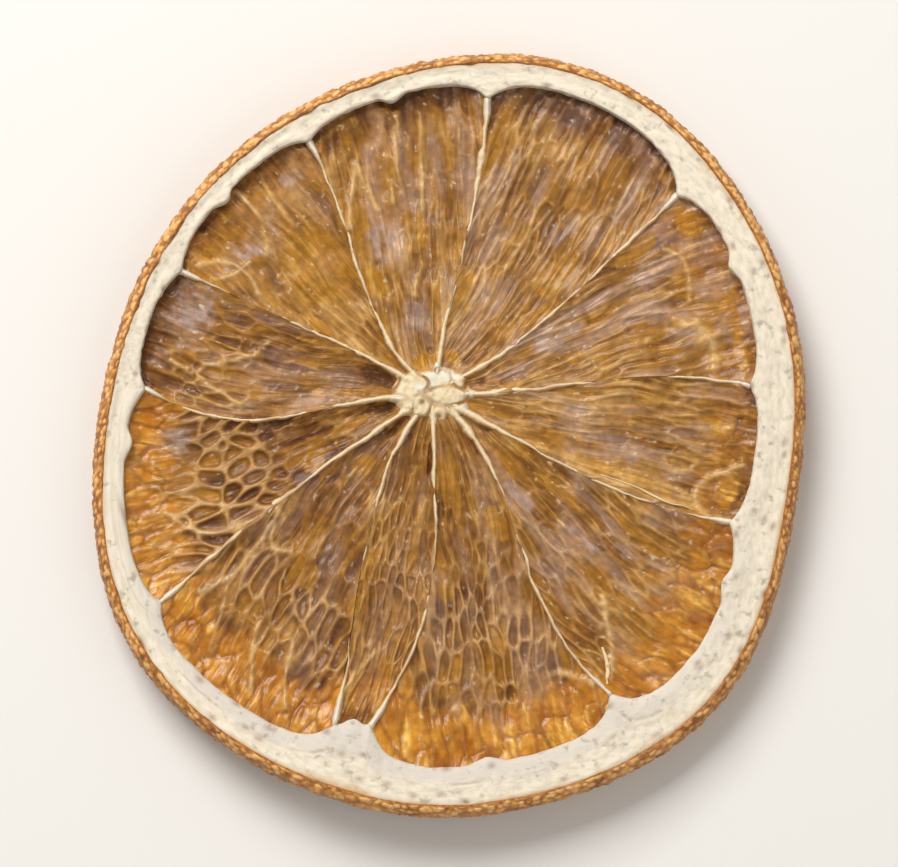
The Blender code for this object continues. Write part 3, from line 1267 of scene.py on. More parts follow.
@dataclass
class Pulp:
    """The dried pulp: one sheet for each segment, with its own juice cells on both faces."""

    form: SliceForm
    finish: DriedPulp = field(default_factory=DriedPulp)
    columns: int = 126
    rows: int = 214
    cells_at: float = 16.0
    overlap_in: float = 0.04
    overlap_out: float = 0.03
    least_height: float = 0.12
    narrowing: float = 0.35
    stretching: float = 1.4
    drape: float = 0.15
    reach_out: float = 21.0

    # Clear gold cells that are still full.
    windows: tuple[Patch, ...] = (
        (23.4, 10, 0.5, 3.0, 0.8),
        (23.2, 34, 0.9, 1.3, 0.9),
        (18.8, 35.3, 1.9, 0.8, 0.8),
        (12.8, 43.5, 2.2, 1.1, 0.7),
        (9.5, 37.5, 1.8, 0.5, 0.7),
        (8.6, 73, 1.0, 0.5, 0.8),
        (9.6, 117.5, 1.6, 0.8, 0.8),
        (12.8, 94, 1.8, 0.4, 0.8),
        (21.4, 107, 0.4, 0.7, 0.8),
        (13.0, 133, 3.4, 2.8, 0.6),
        (20.7, 139, 0.5, 1.0, 0.8),
        (19.8, 149.5, 0.7, 1.2, 0.8),
        (10.2, 149, 1.6, 0.5, 0.7),
        (8.6, 181, 0.6, 0.6, 0.7),
        (10.4, 211, 0.9, 0.8, 0.7),
        (16.6, 236, 1.2, 0.8, 0.6),
        (7.6, 226, 1.0, 0.7, 0.7),
        (17.0, 250, 1.0, 0.45, 0.7),
        (13.0, 250.5, 0.9, 0.5, 0.7),
        (11.0, 296, 1.4, 0.7, 0.7),
        (15.0, 274, 0.9, 0.6, 0.6),
        (12.0, 322, 2.6, 0.45, 0.7),
        (8.0, 328, 0.7, 0.5, 0.7),
        (23.3, 341.5, 0.8, 1.5, 1.0),
        (21.3, 352.5, 0.5, 0.5, 0.7),
        (16.5, 358.5, 1.3, 0.5, 0.6),
        (15.5, 336.5, 4.5, 0.6, 0.8),
        (2.6, 106, 0.6, 1.2, 1.0),
        (3.2, 62, 0.5, 0.7, 1.0),
    )

    # Glossy greyish skin over the cells, its grey partly a painted sheen.
    skins: tuple[Patch, ...] = (
        (10.3, 25, 2.3, 0.95, 0.9),
        (19.6, 13, 1.5, 0.9, 0.8),
        (19.0, 18, 1.6, 0.6, 0.7),
        (18.2, 28.5, 1.2, 0.8, 0.9),
        (21.0, 5.5, 0.7, 1.0, 0.7),
        (8.6, 60, 1.6, 1.2, 0.9),
        (16.5, 51, 2.5, 0.6, 0.5),
        (17.5, 63, 2.5, 0.7, 0.5),
        (18.3, 70.5, 1.6, 0.5, 0.6),
        (12.2, 107, 1.8, 1.4, 0.8),
        (19.0, 98.5, 2.2, 0.6, 0.6),
        (6.2, 101, 1.4, 0.9, 0.7),
        (16.0, 90, 4.0, 0.7, 0.45),
        (17.5, 138.3, 1.2, 1.5, 1.0),
        (18.2, 146, 1.3, 1.1, 1.0),
        (19.4, 123, 1.0, 1.0, 0.7),
        (18.8, 132, 1.4, 0.7, 0.6),
        (19.3, 161.5, 2.0, 2.4, 1.0),
        (20.5, 172.5, 0.7, 0.9, 0.6),
        (20.0, 190, 1.6, 1.4, 0.8),
        (23.0, 186, 0.4, 0.9, 0.6),
        (15.0, 239, 1.5, 0.9, 0.6),
        (10.2, 309, 1.8, 0.9, 0.8),
        (16.0, 315.5, 1.8, 1.1, 0.8),
        (19.3, 321, 1.5, 0.7, 0.6),
        (14.5, 344, 3.0, 1.0, 0.6),
        (11.3, 352, 1.3, 1.0, 0.8),
    )

    # Hollows where cells have drained, sunk and painted dark with shade.
    hollows: tuple[Patch, ...] = (
        (13.0, 26, 0.25, 0.6, 0.5),
        (3.9, 44, 0.8, 0.3, 0.6),
        (3.3, 90, 0.3, 0.4, 0.6),
        (3.8, 14, 0.5, 0.3, 0.7),
        (5.0, 255, 1.2, 0.3, 0.6),
        (4.6, 222, 1.0, 0.3, 0.6),
        (23.6, 67, 0.7, 2.2, 0.5),
        (22.4, 87, 0.6, 1.0, 0.6),
        (4.2, 162, 1.3, 0.55, 1.0),
        (21.3, 158, 0.5, 0.9, 0.6),
        (13.2, 163, 1.2, 1.0, 0.35),
        (12.3, 191, 2.0, 0.4, 0.8),
        (12.5, 196, 0.5, 0.6, 0.6),
        (3.9, 196, 1.1, 0.4, 1.0),
        (16.2, 219, 1.9, 0.7, 0.5),
        (22.6, 222, 0.8, 0.7, 0.35),
        (22.6, 239, 0.6, 0.5, 0.4),
        (5.2, 268.5, 1.8, 0.25, 0.9),
        (21.5, 269, 0.8, 0.7, 0.5),
        (23.3, 284, 0.6, 0.4, 0.35),
        (4.6, 327, 0.7, 0.3, 0.6),
    )

    # Raised folds on the upper face: the points along each, and its half thickness in mm.
    folds: tuple[tuple[Line, float], ...] = (
        (((9.0, -26.5), (13.0, -24.8), (17.0, -23.6), (21.0, -22.4)), 0.22),
        (((10.0, -25.5), (14.0, -23.5), (18.0, -22.2), (20.5, -21.4)), 0.2),
        (((11.5, -27.5), (15.0, -26.0), (19.0, -25.0), (21.3, -23.6)), 0.2),
        (((24.0, -23.0), (22.4, -25.0), (21.2, -22.5), (20.6, -19.0), (22.5, -15.5), (24.0, -13.0)), 0.25),
        (((25.2, -57.8), (23.2, -54.5), (21.6, -53.0), (20.0, -50.0)), 0.2),
        (((22.9, -67.5), (23.3, -64.5), (24.9, -61.0)), 0.24),
        (((20.0, -102.5), (22.0, -105.2), (24.3, -106.7)), 0.2),
        (((14.5, 217.5), (15.8, 220.5), (17.0, 224.0), (16.0, 228.0)), 0.2),
        (((15.5, 219.0), (18.0, 221.5), (20.5, 222.5), (23.0, 220.5)), 0.22),
        (((17.0, 214.5), (19.6, 213.0), (21.0, 209.0), (22.0, 204.0)), 0.2),
        (((25.6, 229.0), (23.5, 227.0), (21.5, 224.0)), 0.18),
        (((26.0, 238.5), (23.5, 235.0), (21.5, 233.0)), 0.18),
        (((26.0, 245.0), (23.5, 242.0), (20.8, 241.0)), 0.18),
        (((15.3, 170.5), (17.6, 173.0), (18.2, 175.5), (16.5, 178.5), (14.5, 183.0)), 0.24),
        (((19.8, 172.5), (18.2, 175.5)), 0.18),
        (((13.0, 163.0), (13.8, 168.0), (15.3, 170.5)), 0.2),
        (((21.6, 97.0), (19.0, 98.5), (16.5, 100.0), (14.8, 102.0)), 0.28),
        (((18.3, 108.5), (16.3, 107.5), (14.5, 106.5)), 0.22),
        (((18.2, 108.5), (16.0, 112.5), (14.0, 116.5)), 0.22),
        (((21.0, 92.5), (17.0, 92.8), (14.0, 93.3)), 0.24),
        (((9.8, 94.5), (8.7, 97.5), (7.6, 100.5)), 0.2),
        (((21.3, 128.0), (19.0, 129.5), (16.5, 130.0)), 0.26),
        (((21.2, 134.0), (18.8, 134.2), (17.0, 137.0), (16.4, 140.0)), 0.24),
        (((20.0, 151.0), (18.6, 147.0), (16.3, 146.5), (15.2, 150.0)), 0.2),
        (((18.6, 152.5), (17.4, 149.0), (17.0, 144.0)), 0.18),
        (((20.6, 20.0), (21.4, 25.0), (21.6, 29.0), (20.6, 32.0)), 0.22),
        (((21.2, 5.0), (21.6, 10.0), (20.4, 15.0), (19.0, 17.0)), 0.3),
    )

    def build(self) -> list[bpy.types.Object]:
        """Makes the segments in order.

        Returns:
            The pieces.
        """
        blank = pillow_blank(self.columns, self.rows)
        material = self.finish.material()
        return [self.build_segment(number, blank, material) for number in range(SEGMENTS)]

    def build_segment(self, number: int, blank: Blank, material: bpy.types.Material) -> bpy.types.Object:
        """Makes one segment's sheet.

        Args:
            number: the segment.
            blank: the plain pillow.
            material: the finish.

        Returns:
            The piece.
        """
        across, along, upper = blank.places.T
        share = blend(-self.overlap_in, 1 + self.overlap_out, along)
        up = upper > 0.5
        x, y, radius, width = self.form.in_segment(number, across, share)
        height, masks = np.zeros(x.shape), {}
        for side, chosen in ((1, up), (-1, ~up)):
            places = tuple(values[chosen] for values in (x, y, radius, width, across, share))
            face = DriedFace(self, number, side, places)
            height[chosen] = face.height()
            for name, values in face.masks().items():
                masks.setdefault(name, np.zeros((len(x), *values.shape[1:])))[chosen] = values
        height = np.maximum(height, self.least_height)
        z = self.form.curl(x, y) + np.where(up, 1, -1) * height
        places = grounded(self.form, x, y, z)
        return make_piece(f"pulp_{number + 1:02d}", blank, places, material, masks)

    def patched(
        self, patches: tuple[Patch, ...], x: np.ndarray, y: np.ndarray, ragged: np.ndarray, soft: float
    ) -> np.ndarray:
        """How far each place is inside the nearest patch, from 0 at its ragged edge to the patch's strength.

        Args:
            patches: the patches.
            x: the places' x in mm.
            y: the places' y in mm.
            ragged: unevenness from -1 to 1 at each place, for the patches' edges.
            soft: how wide the soft edge is, as a share of the patch.

        Returns:
            The strength at each place.
        """
        found = np.zeros(x.shape)
        for distance, degrees, length, width, strength in patches:
            away = math.radians(degrees)
            centre_x, centre_y = self.form.flat_place(away, distance)
            along = (x - centre_x) * math.cos(away) + (y - centre_y) * math.sin(away)
            across = (y - centre_y) * math.cos(away) - (x - centre_x) * math.sin(away)
            edge = np.hypot(along / length, across / width) + 0.7 * ragged
            found = np.maximum(found, strength * between(1 + soft / 3 - edge, 0, soft))
        return found

    def ridged(self, x: np.ndarray, y: np.ndarray, ragged: np.ndarray) -> np.ndarray:
        """How near each place is to a raised fold, from 0 to 1.

        Args:
            x: the places' x in mm.
            y: the places' y in mm.
            ragged: unevenness from -1 to 1 at each place, for the folds' width.

        Returns:
            The nearness at each place.
        """
        found = np.zeros(x.shape)
        for points, thickness in self.folds:
            line_x, line_y = smooth_path(self.form, points, 12)
            near = np.full(x.shape, 1e9)
            for n in range(len(line_x) - 1):
                to_x, to_y = line_x[n + 1] - line_x[n], line_y[n + 1] - line_y[n]
                share = ((x - line_x[n]) * to_x + (y - line_y[n]) * to_y) / (to_x**2 + to_y**2)
                share = np.clip(share, 0, 1)
                near = np.minimum(near, np.hypot(x - line_x[n] - share * to_x, y - line_y[n] - share * to_y))
            found = np.maximum(found, np.exp(-((near / (1.2 * thickness * (1 + 0.5 * ragged))) ** 2)))
        return found


class DriedFace:
    """One face of a segment: its patterns, worked out step by step, and the height and masks they give."""

    def __init__(self, pulp: Pulp, number: int, side: int, places: tuple[np.ndarray, ...]) -> None:
        """Works out the face's patterns.

        Args:
            pulp: the pulp that the face is part of.
            number: the segment.
            side: 1 for the upper face and -1 for the lower one.
            places: each point's x, y, distance from the core's centre and width of the segment there, in
                mm, its share across the segment and its share of the way out.
        """
        self.pulp, self.number, self.side = pulp, number, side
        self.flesh, self.seed = FLESH[number], 1000 + 40 * number + 400 * side
        self.x, self.y, self.radius, self.width, self.across, share = places
        self.held = np.clip(share, 0, 1)
        self.lay_grain()
        self.place_patches()
        self.open_cells()
        self.fill_outer_end()

    def mottled(self, spacing: float, seed: int) -> np.ndarray:
        """Unevenness without a direction, its widest swells spacing mm apart."""
        return layered(self.x / spacing, self.y / spacing, self.seed + seed)

    def drawn(self, width: float, length: float, seed: int, layers: int = 3) -> np.ndarray:
        """Unevenness drawn out along the juice cells, its widest swells width by length mm."""
        return layered(self.sideways / width, self.lengthways / length, self.seed + seed, layers)

    def lay_grain(self) -> None:
        """Sets the way that the juice cells run, and the folds and streaks of those that have dried flat."""
        x, y, seed = self.x, self.y, self.seed
        self.reach = (np.maximum(self.radius, 1.5) / self.pulp.cells_at) ** self.pulp.narrowing
        sway = 0.3 * ripple(x / 3.4, y / 3.4, seed) + 0.06 * ripple(x / 1.1, y / 1.1, seed + 1)
        self.bend = ripple(x / 2.3, y / 2.3, seed + 2)
        self.sideways = (self.across - 0.5) * self.width / self.reach + sway
        self.lengthways = self.radius + 0.7 * self.bend
        self.crumple = self.mottled(0.75, 15)
        self.fold = (1 - np.abs(self.drawn(1.3, 5.5, 3, 2))) ** 3
        self.streak = (1 - np.abs(self.drawn(0.7, 5.5, 6, 2))) ** 3
        self.fibre = self.drawn(0.3, 2.2, 9)
        self.patch = 0.5 + 0.5 * self.mottled(2.9, 12)

    def place_patches(self) -> None:
        """Sets the windows, skins, hollows and raised folds, which only the upper face has."""
        pulp, shown = self.pulp, float(self.side > 0)
        ragged = 0.5 * self.crumple + 0.5 * self.mottled(0.4, 16)
        self.window = shown * pulp.patched(pulp.windows, self.x, self.y, 0.6 * ragged, 0.3)
        self.skin_patch = shown * pulp.patched(pulp.skins, self.x, self.y, ragged, 0.8)
        self.hollow = shown * pulp.patched(pulp.hollows, self.x, self.y, ragged, 0.9)
        self.ridge = shown * pulp.ridged(self.x, self.y, ragged)

    def open_cells(self) -> None:
        """Sets the cells that have opened into a honeycomb. They are longer towards the rind."""
        flesh, stretching = self.flesh, self.pulp.stretching
        inward = np.clip(1 - self.held, 0.02, 1)
        middle = (1 / 3) ** (stretching - 1)
        rows = (1 - inward**stretching) / (stretching * middle) * self.pulp.reach_out / flesh.length
        rows = rows + 0.35 * self.bend
        width, length = flesh.width * self.reach, flesh.length * middle / inward ** (stretching - 1)
        columns, rounding = self.sideways / flesh.width, 0.12 * flesh.width
        self.cells = cell_pattern(columns, rows, width, length, self.seed + 18, 0.9, rounding)
        inside = self.cells.wall + 0.03 * self.crumple
        self.wall = 1 - between(inside, 0.0, 0.09 + 0.13 * width)
        self.cup = between(inside, 0.03, 0.34 * width)
        opened = self.held + 0.1 * ripple(self.x / 2.6, self.y / 2.6, self.seed + 22)
        self.comb = flesh.comb * between(opened, flesh.opens, flesh.opens + 0.25)
        self.comb = self.comb * (0.3 + 0.7 * between(self.patch, 0.2, 0.55)) * (1 - 0.8 * self.skin_patch)

    def fill_outer_end(self) -> None:
        """Sets the cells that are still full at the rind, which get a painted glow of light shining through
        them, and the gap and crushed band where drier ones have left it.
        """
        radius, held, seed, dry = self.radius, self.held, self.seed, 1 - self.flesh.fullness_and_glow
        frayed = held + 0.09 * layered(self.sideways / 1.9, radius / 2.5, seed + 25)
        frayed = frayed + 0.05 * layered(self.sideways / 0.6, radius / 4, seed + 26)
        self.outer_end = between(frayed, 0.80, 0.9) * self.flesh.fullness_and_glow
        bent = 0.35 * ripple(self.x / 1.3, self.y / 1.3, seed + 29)
        lobe_u, lobe_v = (self.sideways + bent) / 1.3, (self.lengthways + bent) / 3.4
        lobes = cell_pattern(lobe_u, lobe_v, 1.3, 3.4, seed + 28, 0.95, 0.1)
        self.lobe = between(lobes.wall + 0.05 * self.crumple, 0.0, 0.22)
        self.ray = between(self.drawn(0.22, 2.0, 30), 0.05, 0.5)
        self.full = np.clip(0.5 + 0.8 * self.mottled(1.4, 41), 0, 1)
        self.flat = (1 - 0.75 * self.outer_end) * (1 - 0.6 * self.window)
        loose = between(layered(self.sideways / 1.5, radius * 0, seed + 27), -0.5, 0.3)
        self.gap = between(held, 0.966, 0.995) * dry * loose
        # A crumpled band near the rind of the drier segments, which is also painted darker, as shade under
        # the rind.
        self.crushed_and_shaded = between(held, 0.86, 0.95) * dry
        self.vein = self.wall * between(self.mottled(1.8, 33), -0.35, 0.25)
        self.beside = np.exp(-np.minimum(self.across, 1 - self.across) * self.width / 0.35)

    def height(self) -> np.ndarray:
        """How far the surface stands from the slice's middle.

        Returns:
            The height at each point, in mm.
        """
        form, comb, flat = self.pulp.form, self.comb, self.flat
        high = form.pulp_half_height + form.pulp_rise_at_membrane * (2 * self.across - 1) ** 2
        high = high + form.pulp_rise_at_rind * self.held**12
        high = high + form.lumps(self.x, self.y, self.side, form.pulp_lump_spacing, form.pulp_lump)
        folds = 0.22 * self.fold * self.patch + 0.06 * self.streak
        high = high + flat * (1 - 0.7 * comb) * self.flesh.folds * folds
        high = high + flat * comb * (0.14 * self.wall - 0.22 * self.cup * (0.35 + 0.8 * self.cells.tint))
        crumpling = (0.05 + 0.07 * self.crushed_and_shaded) * (1 - 0.6 * self.window)
        high = high + 0.02 * self.fibre + crumpling * self.crumple
        high = high + flat * (1 - comb) * 0.07 * self.vein + 0.08 * self.window + 0.06 * self.skin_patch
        high = high + self.outer_end * (0.12 * self.lobe + 0.05 * self.ray + 0.1 * self.full - 0.08)
        high = high - 0.2 * self.gap - 0.25 * self.hollow + 0.2 * self.ridge
        return high + self.pulp.drape * self.beside

    def masks(self) -> Masks:
        """The numbers at each point that the finish reads.

        Returns:
            The masks.
        """
        flesh, cells, wall, comb, ridge = self.flesh, self.cells, self.wall, self.comb, self.ridge
        outer_end, window, skin_patch, crushed_and_shaded = self.outer_end, self.window, self.skin_patch, self.crushed_and_shaded
        film = layered(self.sideways / 1.2 + 5, self.lengthways / 4.0, self.seed + 31) + 0.2 * self.fold
        film = between(film, 0.0, 0.5) * flesh.skin_and_sheen * (1 - window) * (0.7 + 0.3 * self.streak)
        shreds = between(self.drawn(0.55, 2.0, 43), -0.3, 0.35)
        # Greyish skin, partly a painted sheen of light on glossy folds.
        skin = np.maximum(film, skin_patch * (0.2 + 0.7 * shreds)) * (1 - ridge)
        skin = skin * (1 - 0.5 * between(1 - self.held * 5, 0.0, 0.8))
        # The first: painted shade in the bottoms of some open cells.
        shaded_cup, warm_cell = (cells.second > 0.8) * self.cup * comb, (cells.second < 0.6) * self.cup * comb
        # Painted glints: small pale highlights, more on skins and along raised folds.
        painted_glint = between(self.drawn(0.3, 0.45, 35), 0.5, 0.8)
        amber = between(self.drawn(1.1, 3.6, 37), 0.0, 0.45) * (1 - wall * comb)
        flat_shade = 0.32 * self.fold * self.patch + 0.28 * self.streak + 0.16 * self.vein
        # The cups of open cells are painted a little darker, as shade in them.
        shade = 0.12 + 1.2 * blend(flat_shade, 0.6 * wall - 0.04 * self.cup, comb)
        shade = shade + 0.14 * self.crumple + 0.08 * self.fibre + 0.08 * self.beside
        drained = (0.13 - 0.29 * flesh.comb) * (1 - between(self.held, 0.3, 0.6))
        # Painted shade in the crushed band's creases.
        shaded_creases = 0.3 * crushed_and_shaded * (self.crumple < 0)
        # Painted highlights on the full cells' rays and lobes, and along the clear windows' rays.
        bright = outer_end * self.full * (0.15 + 0.85 * self.ray * self.lobe) + 0.35 * window * self.ray

        # How far each colour covers, and the most that it may.
        covers = {
            # The crushed band is painted darker here, as shade under the rind.
            "wall": (shade - 0.25 * crushed_and_shaded + 0.5 * ridge, 1),
            # Greyish skin, partly a painted sheen.
            "skin_and_sheen": ((skin + 0.1 * wall * comb) * (1 - 0.8 * outer_end), 0.85),
            "amber": (np.maximum(0.6 * amber + 0.4 * warm_cell, 0.95 * window) * (1 - 0.45 * ridge), 0.95),
            # A painted glow of light shining through the full cells at the outer end.
            "ember": (outer_end * (1 - 0.6 * wall * comb - ridge), 0.9),
            "fullness_and_glow": (outer_end * self.lobe * (0.15 + 0.95 * self.full) * (1 - 0.6 * wall * comb), 0.95),
            "painted_highlight": (bright, 0.85),
            # Painted shade in hollows, cell bottoms, creases and the gap under the rind.
            "deep": (0.4 * shaded_cup * self.flat + 0.8 * self.hollow + 0.6 * self.gap + shaded_creases, 0.9),
            "painted_glint": (painted_glint * (0.4 + 0.4 * flesh.skin_and_sheen + 0.3 * skin_patch) + 0.2 * ridge * self.streak, 0.75),
            "gloss": (skin_patch + outer_end + window, 1),
        }
        masks = {name: np.clip(cover, 0, most) for name, (cover, most) in covers.items()}
        masks["tone"] = 0.2 * self.mottled(2.4, 39) + 0.16 * (cells.tint - 0.5) * comb + flesh.tone + drained
        own = np.full(len(self.x), 7.0 * self.number + self.side)
        masks["grain"] = np.column_stack([self.sideways / 0.27, self.lengthways / 1.8, own])
        return masks


# Membranes, core and strands.


# A stretch of a membrane: its number, the share of the way out, how long the stretch is, and how strong.
Stretch = tuple[int, float, float, float]


@dataclass
class Membranes:
    """The thin skins that stand on edge between the segments."""

    form: SliceForm
    finish: DriedMembrane = field(default_factory=DriedMembrane)
    rings: int = 260
    sides: int = 20
    start: float = -0.1
    end: float = 1.045
    reach_out: float = 22.0
    half_height: float = 1.03
    rise_at_rind: float = 0.6
    rise_at_core: float = 0.25
    dip_into_pith: float = 0.75
    half_width_at_core: float = 0.24
    half_width: float = 0.145
    half_width_at_rind: float = 0.27

    # Stretches that have sunk into the pulp, and how deep in mm.
    sunk: tuple[Stretch, ...] = (
        (7, 0.62, 0.13, 0.4),
        (4, 0.66, 0.14, 0.3),
        (5, 0.9, 0.08, 0.2),
        (10, 0.78, 0.08, 0.25),
        (8, 0.45, 0.1, 0.15),
    )

    # Thicker stretches, and how much thicker than the rest.
    swells: tuple[Stretch, ...] = (
        (2, 0.77, 0.10, 1.3),
        (0, 0.10, 0.06, 0.9),
        (9, 0.06, 0.07, 0.3),
        (6, 0.55, 0.20, 0.7),
        (1, 0.75, 0.15, 0.4),
    )

    def build(self) -> list[bpy.types.Object]:
        """Makes the membranes in order."""
        blank, material = tube_blank(self.rings, self.sides), self.finish.material()
        return [self.build_membrane(number, blank, material) for number in range(SEGMENTS)]

    def line(self, number: int, share: np.ndarray) -> tuple[np.ndarray, np.ndarray]:
        """The membrane's middle line, with its small kinks.

        Args:
            number: the membrane.
            share: the share of the way out.

        Returns:
            The line's x and y at each share, in mm.
        """
        x, y, radius, _ = self.form.in_segment(number, np.zeros(share.shape), share)
        direction = self.form.membrane_direction(number, share)
        free = between(share, 0.0, 0.12) * (1 - between(share, 0.93, 1.02))
        seed, flat = 3000 + number * 9, np.zeros(share.shape)
        kink = 0.13 * layered(radius / 2.0, flat + number, seed) + 0.03 * ripple(radius / 0.6, flat, seed + 5)
        return x - kink * free * np.sin(direction), y + kink * free * np.cos(direction)

    def strength(self, stretches: tuple[Stretch, ...], number: int, held: np.ndarray) -> np.ndarray:
        """How strong a membrane's stretches are.

        Args:
            stretches: the stretches of all membranes.
            number: the membrane.
            held: the share of the way out.

        Returns:
            The strength at each share, 0 outside the stretches.
        """
        found = np.zeros(held.shape)
        for index, at, length, most in stretches:
            if index == number:
                found = found + most * np.exp(-(((held - at) / length) ** 2))
        return found

    def build_membrane(self, number: int, blank: Blank, material: bpy.types.Material) -> bpy.types.Object:
        """Makes one membrane.

        Args:
            number: the membrane.
            blank: the plain tube.
            material: the finish.

        Returns:
            The piece.
        """
        form, seed = self.form, 3200 + number * 11
        side, level, along = blank.places.T
        share = blend(self.start, self.end, along)
        held = np.clip(share, 0, 1)
        radius, flat = held * self.reach_out, np.zeros(held.shape)
        x, y = self.line(number, share)
        ahead_x, ahead_y = self.line(number, share + 0.004)
        tangent = np.arctan2(ahead_y - y, ahead_x - x)

        # Its half width and half height along the way, with uneven edges, swells and sunk stretches.
        gone = self.strength(self.sunk, number, held)
        half_width = blend(self.half_width_at_core, self.half_width, between(held, 0.0, 0.35))
        half_width = half_width + (self.half_width_at_rind - self.half_width) * between(held, 0.86, 1.0)
        half_width = half_width * (1 + 0.6 * layered(radius / 0.9, flat + 0.5, seed))
        half_width = half_width * (1 + self.strength(self.swells, number, held))
        half_width = half_width * (1 - 0.8 * np.clip(gone / 0.4, 0, 1))
        height = self.half_height + self.rise_at_rind * held**4 + self.rise_at_core * (1 - held) ** 3
        height = height + 0.16 * layered(radius / 1.1, flat + 0.5, seed + 4) + 2.5 * np.minimum(share, 0)
        height = height - gone - self.dip_into_pith * between(share, 0.995, 1.04)

        # Its section is widest at mid height, and leans a little to one side and the other.
        crest = np.abs(level)
        across = np.sign(side) * np.abs(side) ** 0.8 * half_width * (1.9 - 0.9 * crest)
        across = across + 0.08 * ripple(radius / 2.5, flat + 2.5, seed + 8) * level
        x, y = x - across * np.sin(tangent), y + across * np.cos(tangent)
        z = form.curl(x, y) + level * height
        patchy = layered(radius / 1.4, flat + 4.5, seed + 12)
        stain = 0.7 * between(patchy, -0.1, 0.5) * between(held, 0.0, 0.3) + gone / 0.25
        masks = {
            # The crest is painted paler and the sides darker, partly as painted light from above and shade at
            # the sides.
            "crest": between(crest + 0.1 * layered(radius / 0.5, side, seed + 14), 0.6, 1.0),
            "stain": np.clip(stain, 0, 0.95),
            "chalk": 0.85 * between(share + 0.01 * patchy, 0.90, 0.98),
        }
        places = grounded(form, x, y, z)
        return make_piece(f"membrane_{number + 1:02d}", blank, places, material, masks)


@dataclass(frozen=True)
class DriedCore(DriedPith):
    """The dried spongy core: like pith, but creamier, with tan creases darkened by painted shade, and an
    amber rim.
    """

    name: str = "dried_spongy_core"
    pale: str = "E4D2AE"
    body: str = "CDB58A"
    pore: str = "A98A60"
    edge: str = "BC7E34"
    gland_and_shade: str = "7E4F22"
    cool_tint_and_shade: str = "E3E1D2"
    bump: float = 0.03


@dataclass
class Core:
    """The spongy middle of the slice, with an arm towards each membrane."""

    form: SliceForm
    finish: DriedCore = field(default_factory=DriedCore)
    columns: int = 330
    rows: int = 110

    def build(self) -> list[bpy.types.Object]:
        """Makes the core.

        Returns:
            The piece, in a list.
        """
        form, blank = self.form, ball_blank(self.columns, self.rows)
        ball_x, ball_y, ball_z = blank.places.T
        direction = np.arctan2(ball_y, ball_x)
        starts = np.array([line.at_core for line in LINES] + [LINES[0].at_core + 360])
        degrees = np.mod(np.degrees(direction) - starts[0], 360) + starts[0]
        number = np.clip(np.searchsorted(starts, degrees, side="right") - 1, 0, SEGMENTS - 1)
        width = starts[number + 1] - starts[number]
        across = (degrees - starts[number]) / width
        arm = np.exp(-((np.minimum(across, 1 - across) * width / 5.0) ** 2))
        out = np.arccos(np.clip(np.abs(ball_z), 0, 1)) / (math.pi / 2)
        edge = form.core_radius(direction, np.full(len(ball_x), 0.5)) + 1.1 * arm
        edge = edge + 0.35 * layered(np.cos(direction) * 2.2 + 9, np.sin(direction) * 2.2, 4001)
        radius = edge * out
        x, y = form.flat_place(direction, radius)
        side = np.where(ball_z >= 0, 1.0, -1.0)
        plateau = np.sqrt(np.clip(1 - out**6, 0, 1))
        lobes = cell_pattern(x / 1.9 + 0.3 * ripple(x, y, 4009), y / 1.7, 1.9, 1.7, 4011, 0.8, 0.15)
        crease = (1 - between(lobes.wall, 0.0, 0.26)) * between(layered(x / 1.6, y / 1.6, 4015), -0.8, 0.0)
        pits = cell_pattern(x / 1.1, y / 1.1, 1.1, 1.1, 4017)
        pit = np.exp(-((pits.centre / 0.2) ** 2)) * (pits.tint > 0.6)
        grain = 0.16 * layered(x / 1.5, y / 1.5, 4021) + 0.03 * layered(x / 0.5, y / 0.5, 4031)
        height = form.core_half_height * plateau + plateau * (grain - 0.25 * crease - 0.2 * pit)
        z = form.curl(x, y) + side * height
        upward = between(np.sin(direction), 0.5, 0.95)
        rim = between(out + 0.12 * layered(x / 0.9, y / 0.9, 4041), 0.74, 0.95) * (1 - 0.5 * arm)
        masks = {
            # The creases are painted tan and brown and the pits brown: painted shade in them. The cool tint
            # here is only pale patches.
            "edge": np.clip((0.4 + 0.6 * upward) * rim + 0.55 * crease, 0, 0.9),
            "gland_and_shade": np.clip(0.8 * pit + 0.5 * crease * (pits.second > 0.6), 0, 0.8),
            "cool_tint_and_shade": 0.7 * between(layered(x / 1.7, y / 1.7, 4051), 0.0, 0.4),
            "grain": np.column_stack([x / 0.5, y / 0.5, side]),
        }
        places = grounded(form, x, y, z)
        material = self.finish.material()
        return [make_piece("core", blank, places, material, masks)]


@dataclass(frozen=True)
class Strand:
    """A loose fibre that lies on the pulp.

    Attributes:
        points: the places along it.
        thickness: its radius in mm.
        rise: how far its middle lies above the pulp, in mm.
    """

    points: Line
    thickness: float
    rise: float = 0.0


STRANDS = (
    Strand(((22.9, 303.9), (23.7, 303.3), (24.6, 302.2), (25.5, 300.8)), 0.17, 0.15),
    Strand(((21.5, 336.0), (19.5, 335.0), (17.0, 335.5), (14.0, 334.5)), 0.08, 0.1),
)


@dataclass(frozen=True)
class DriedFibre(DriedMembrane):
    """A loose dried fibre: like membrane, but a duller gold."""

    name: str = "dried_loose_fibre"
    crest: str = "E6CD9E"
    foot: str = "B48C52"


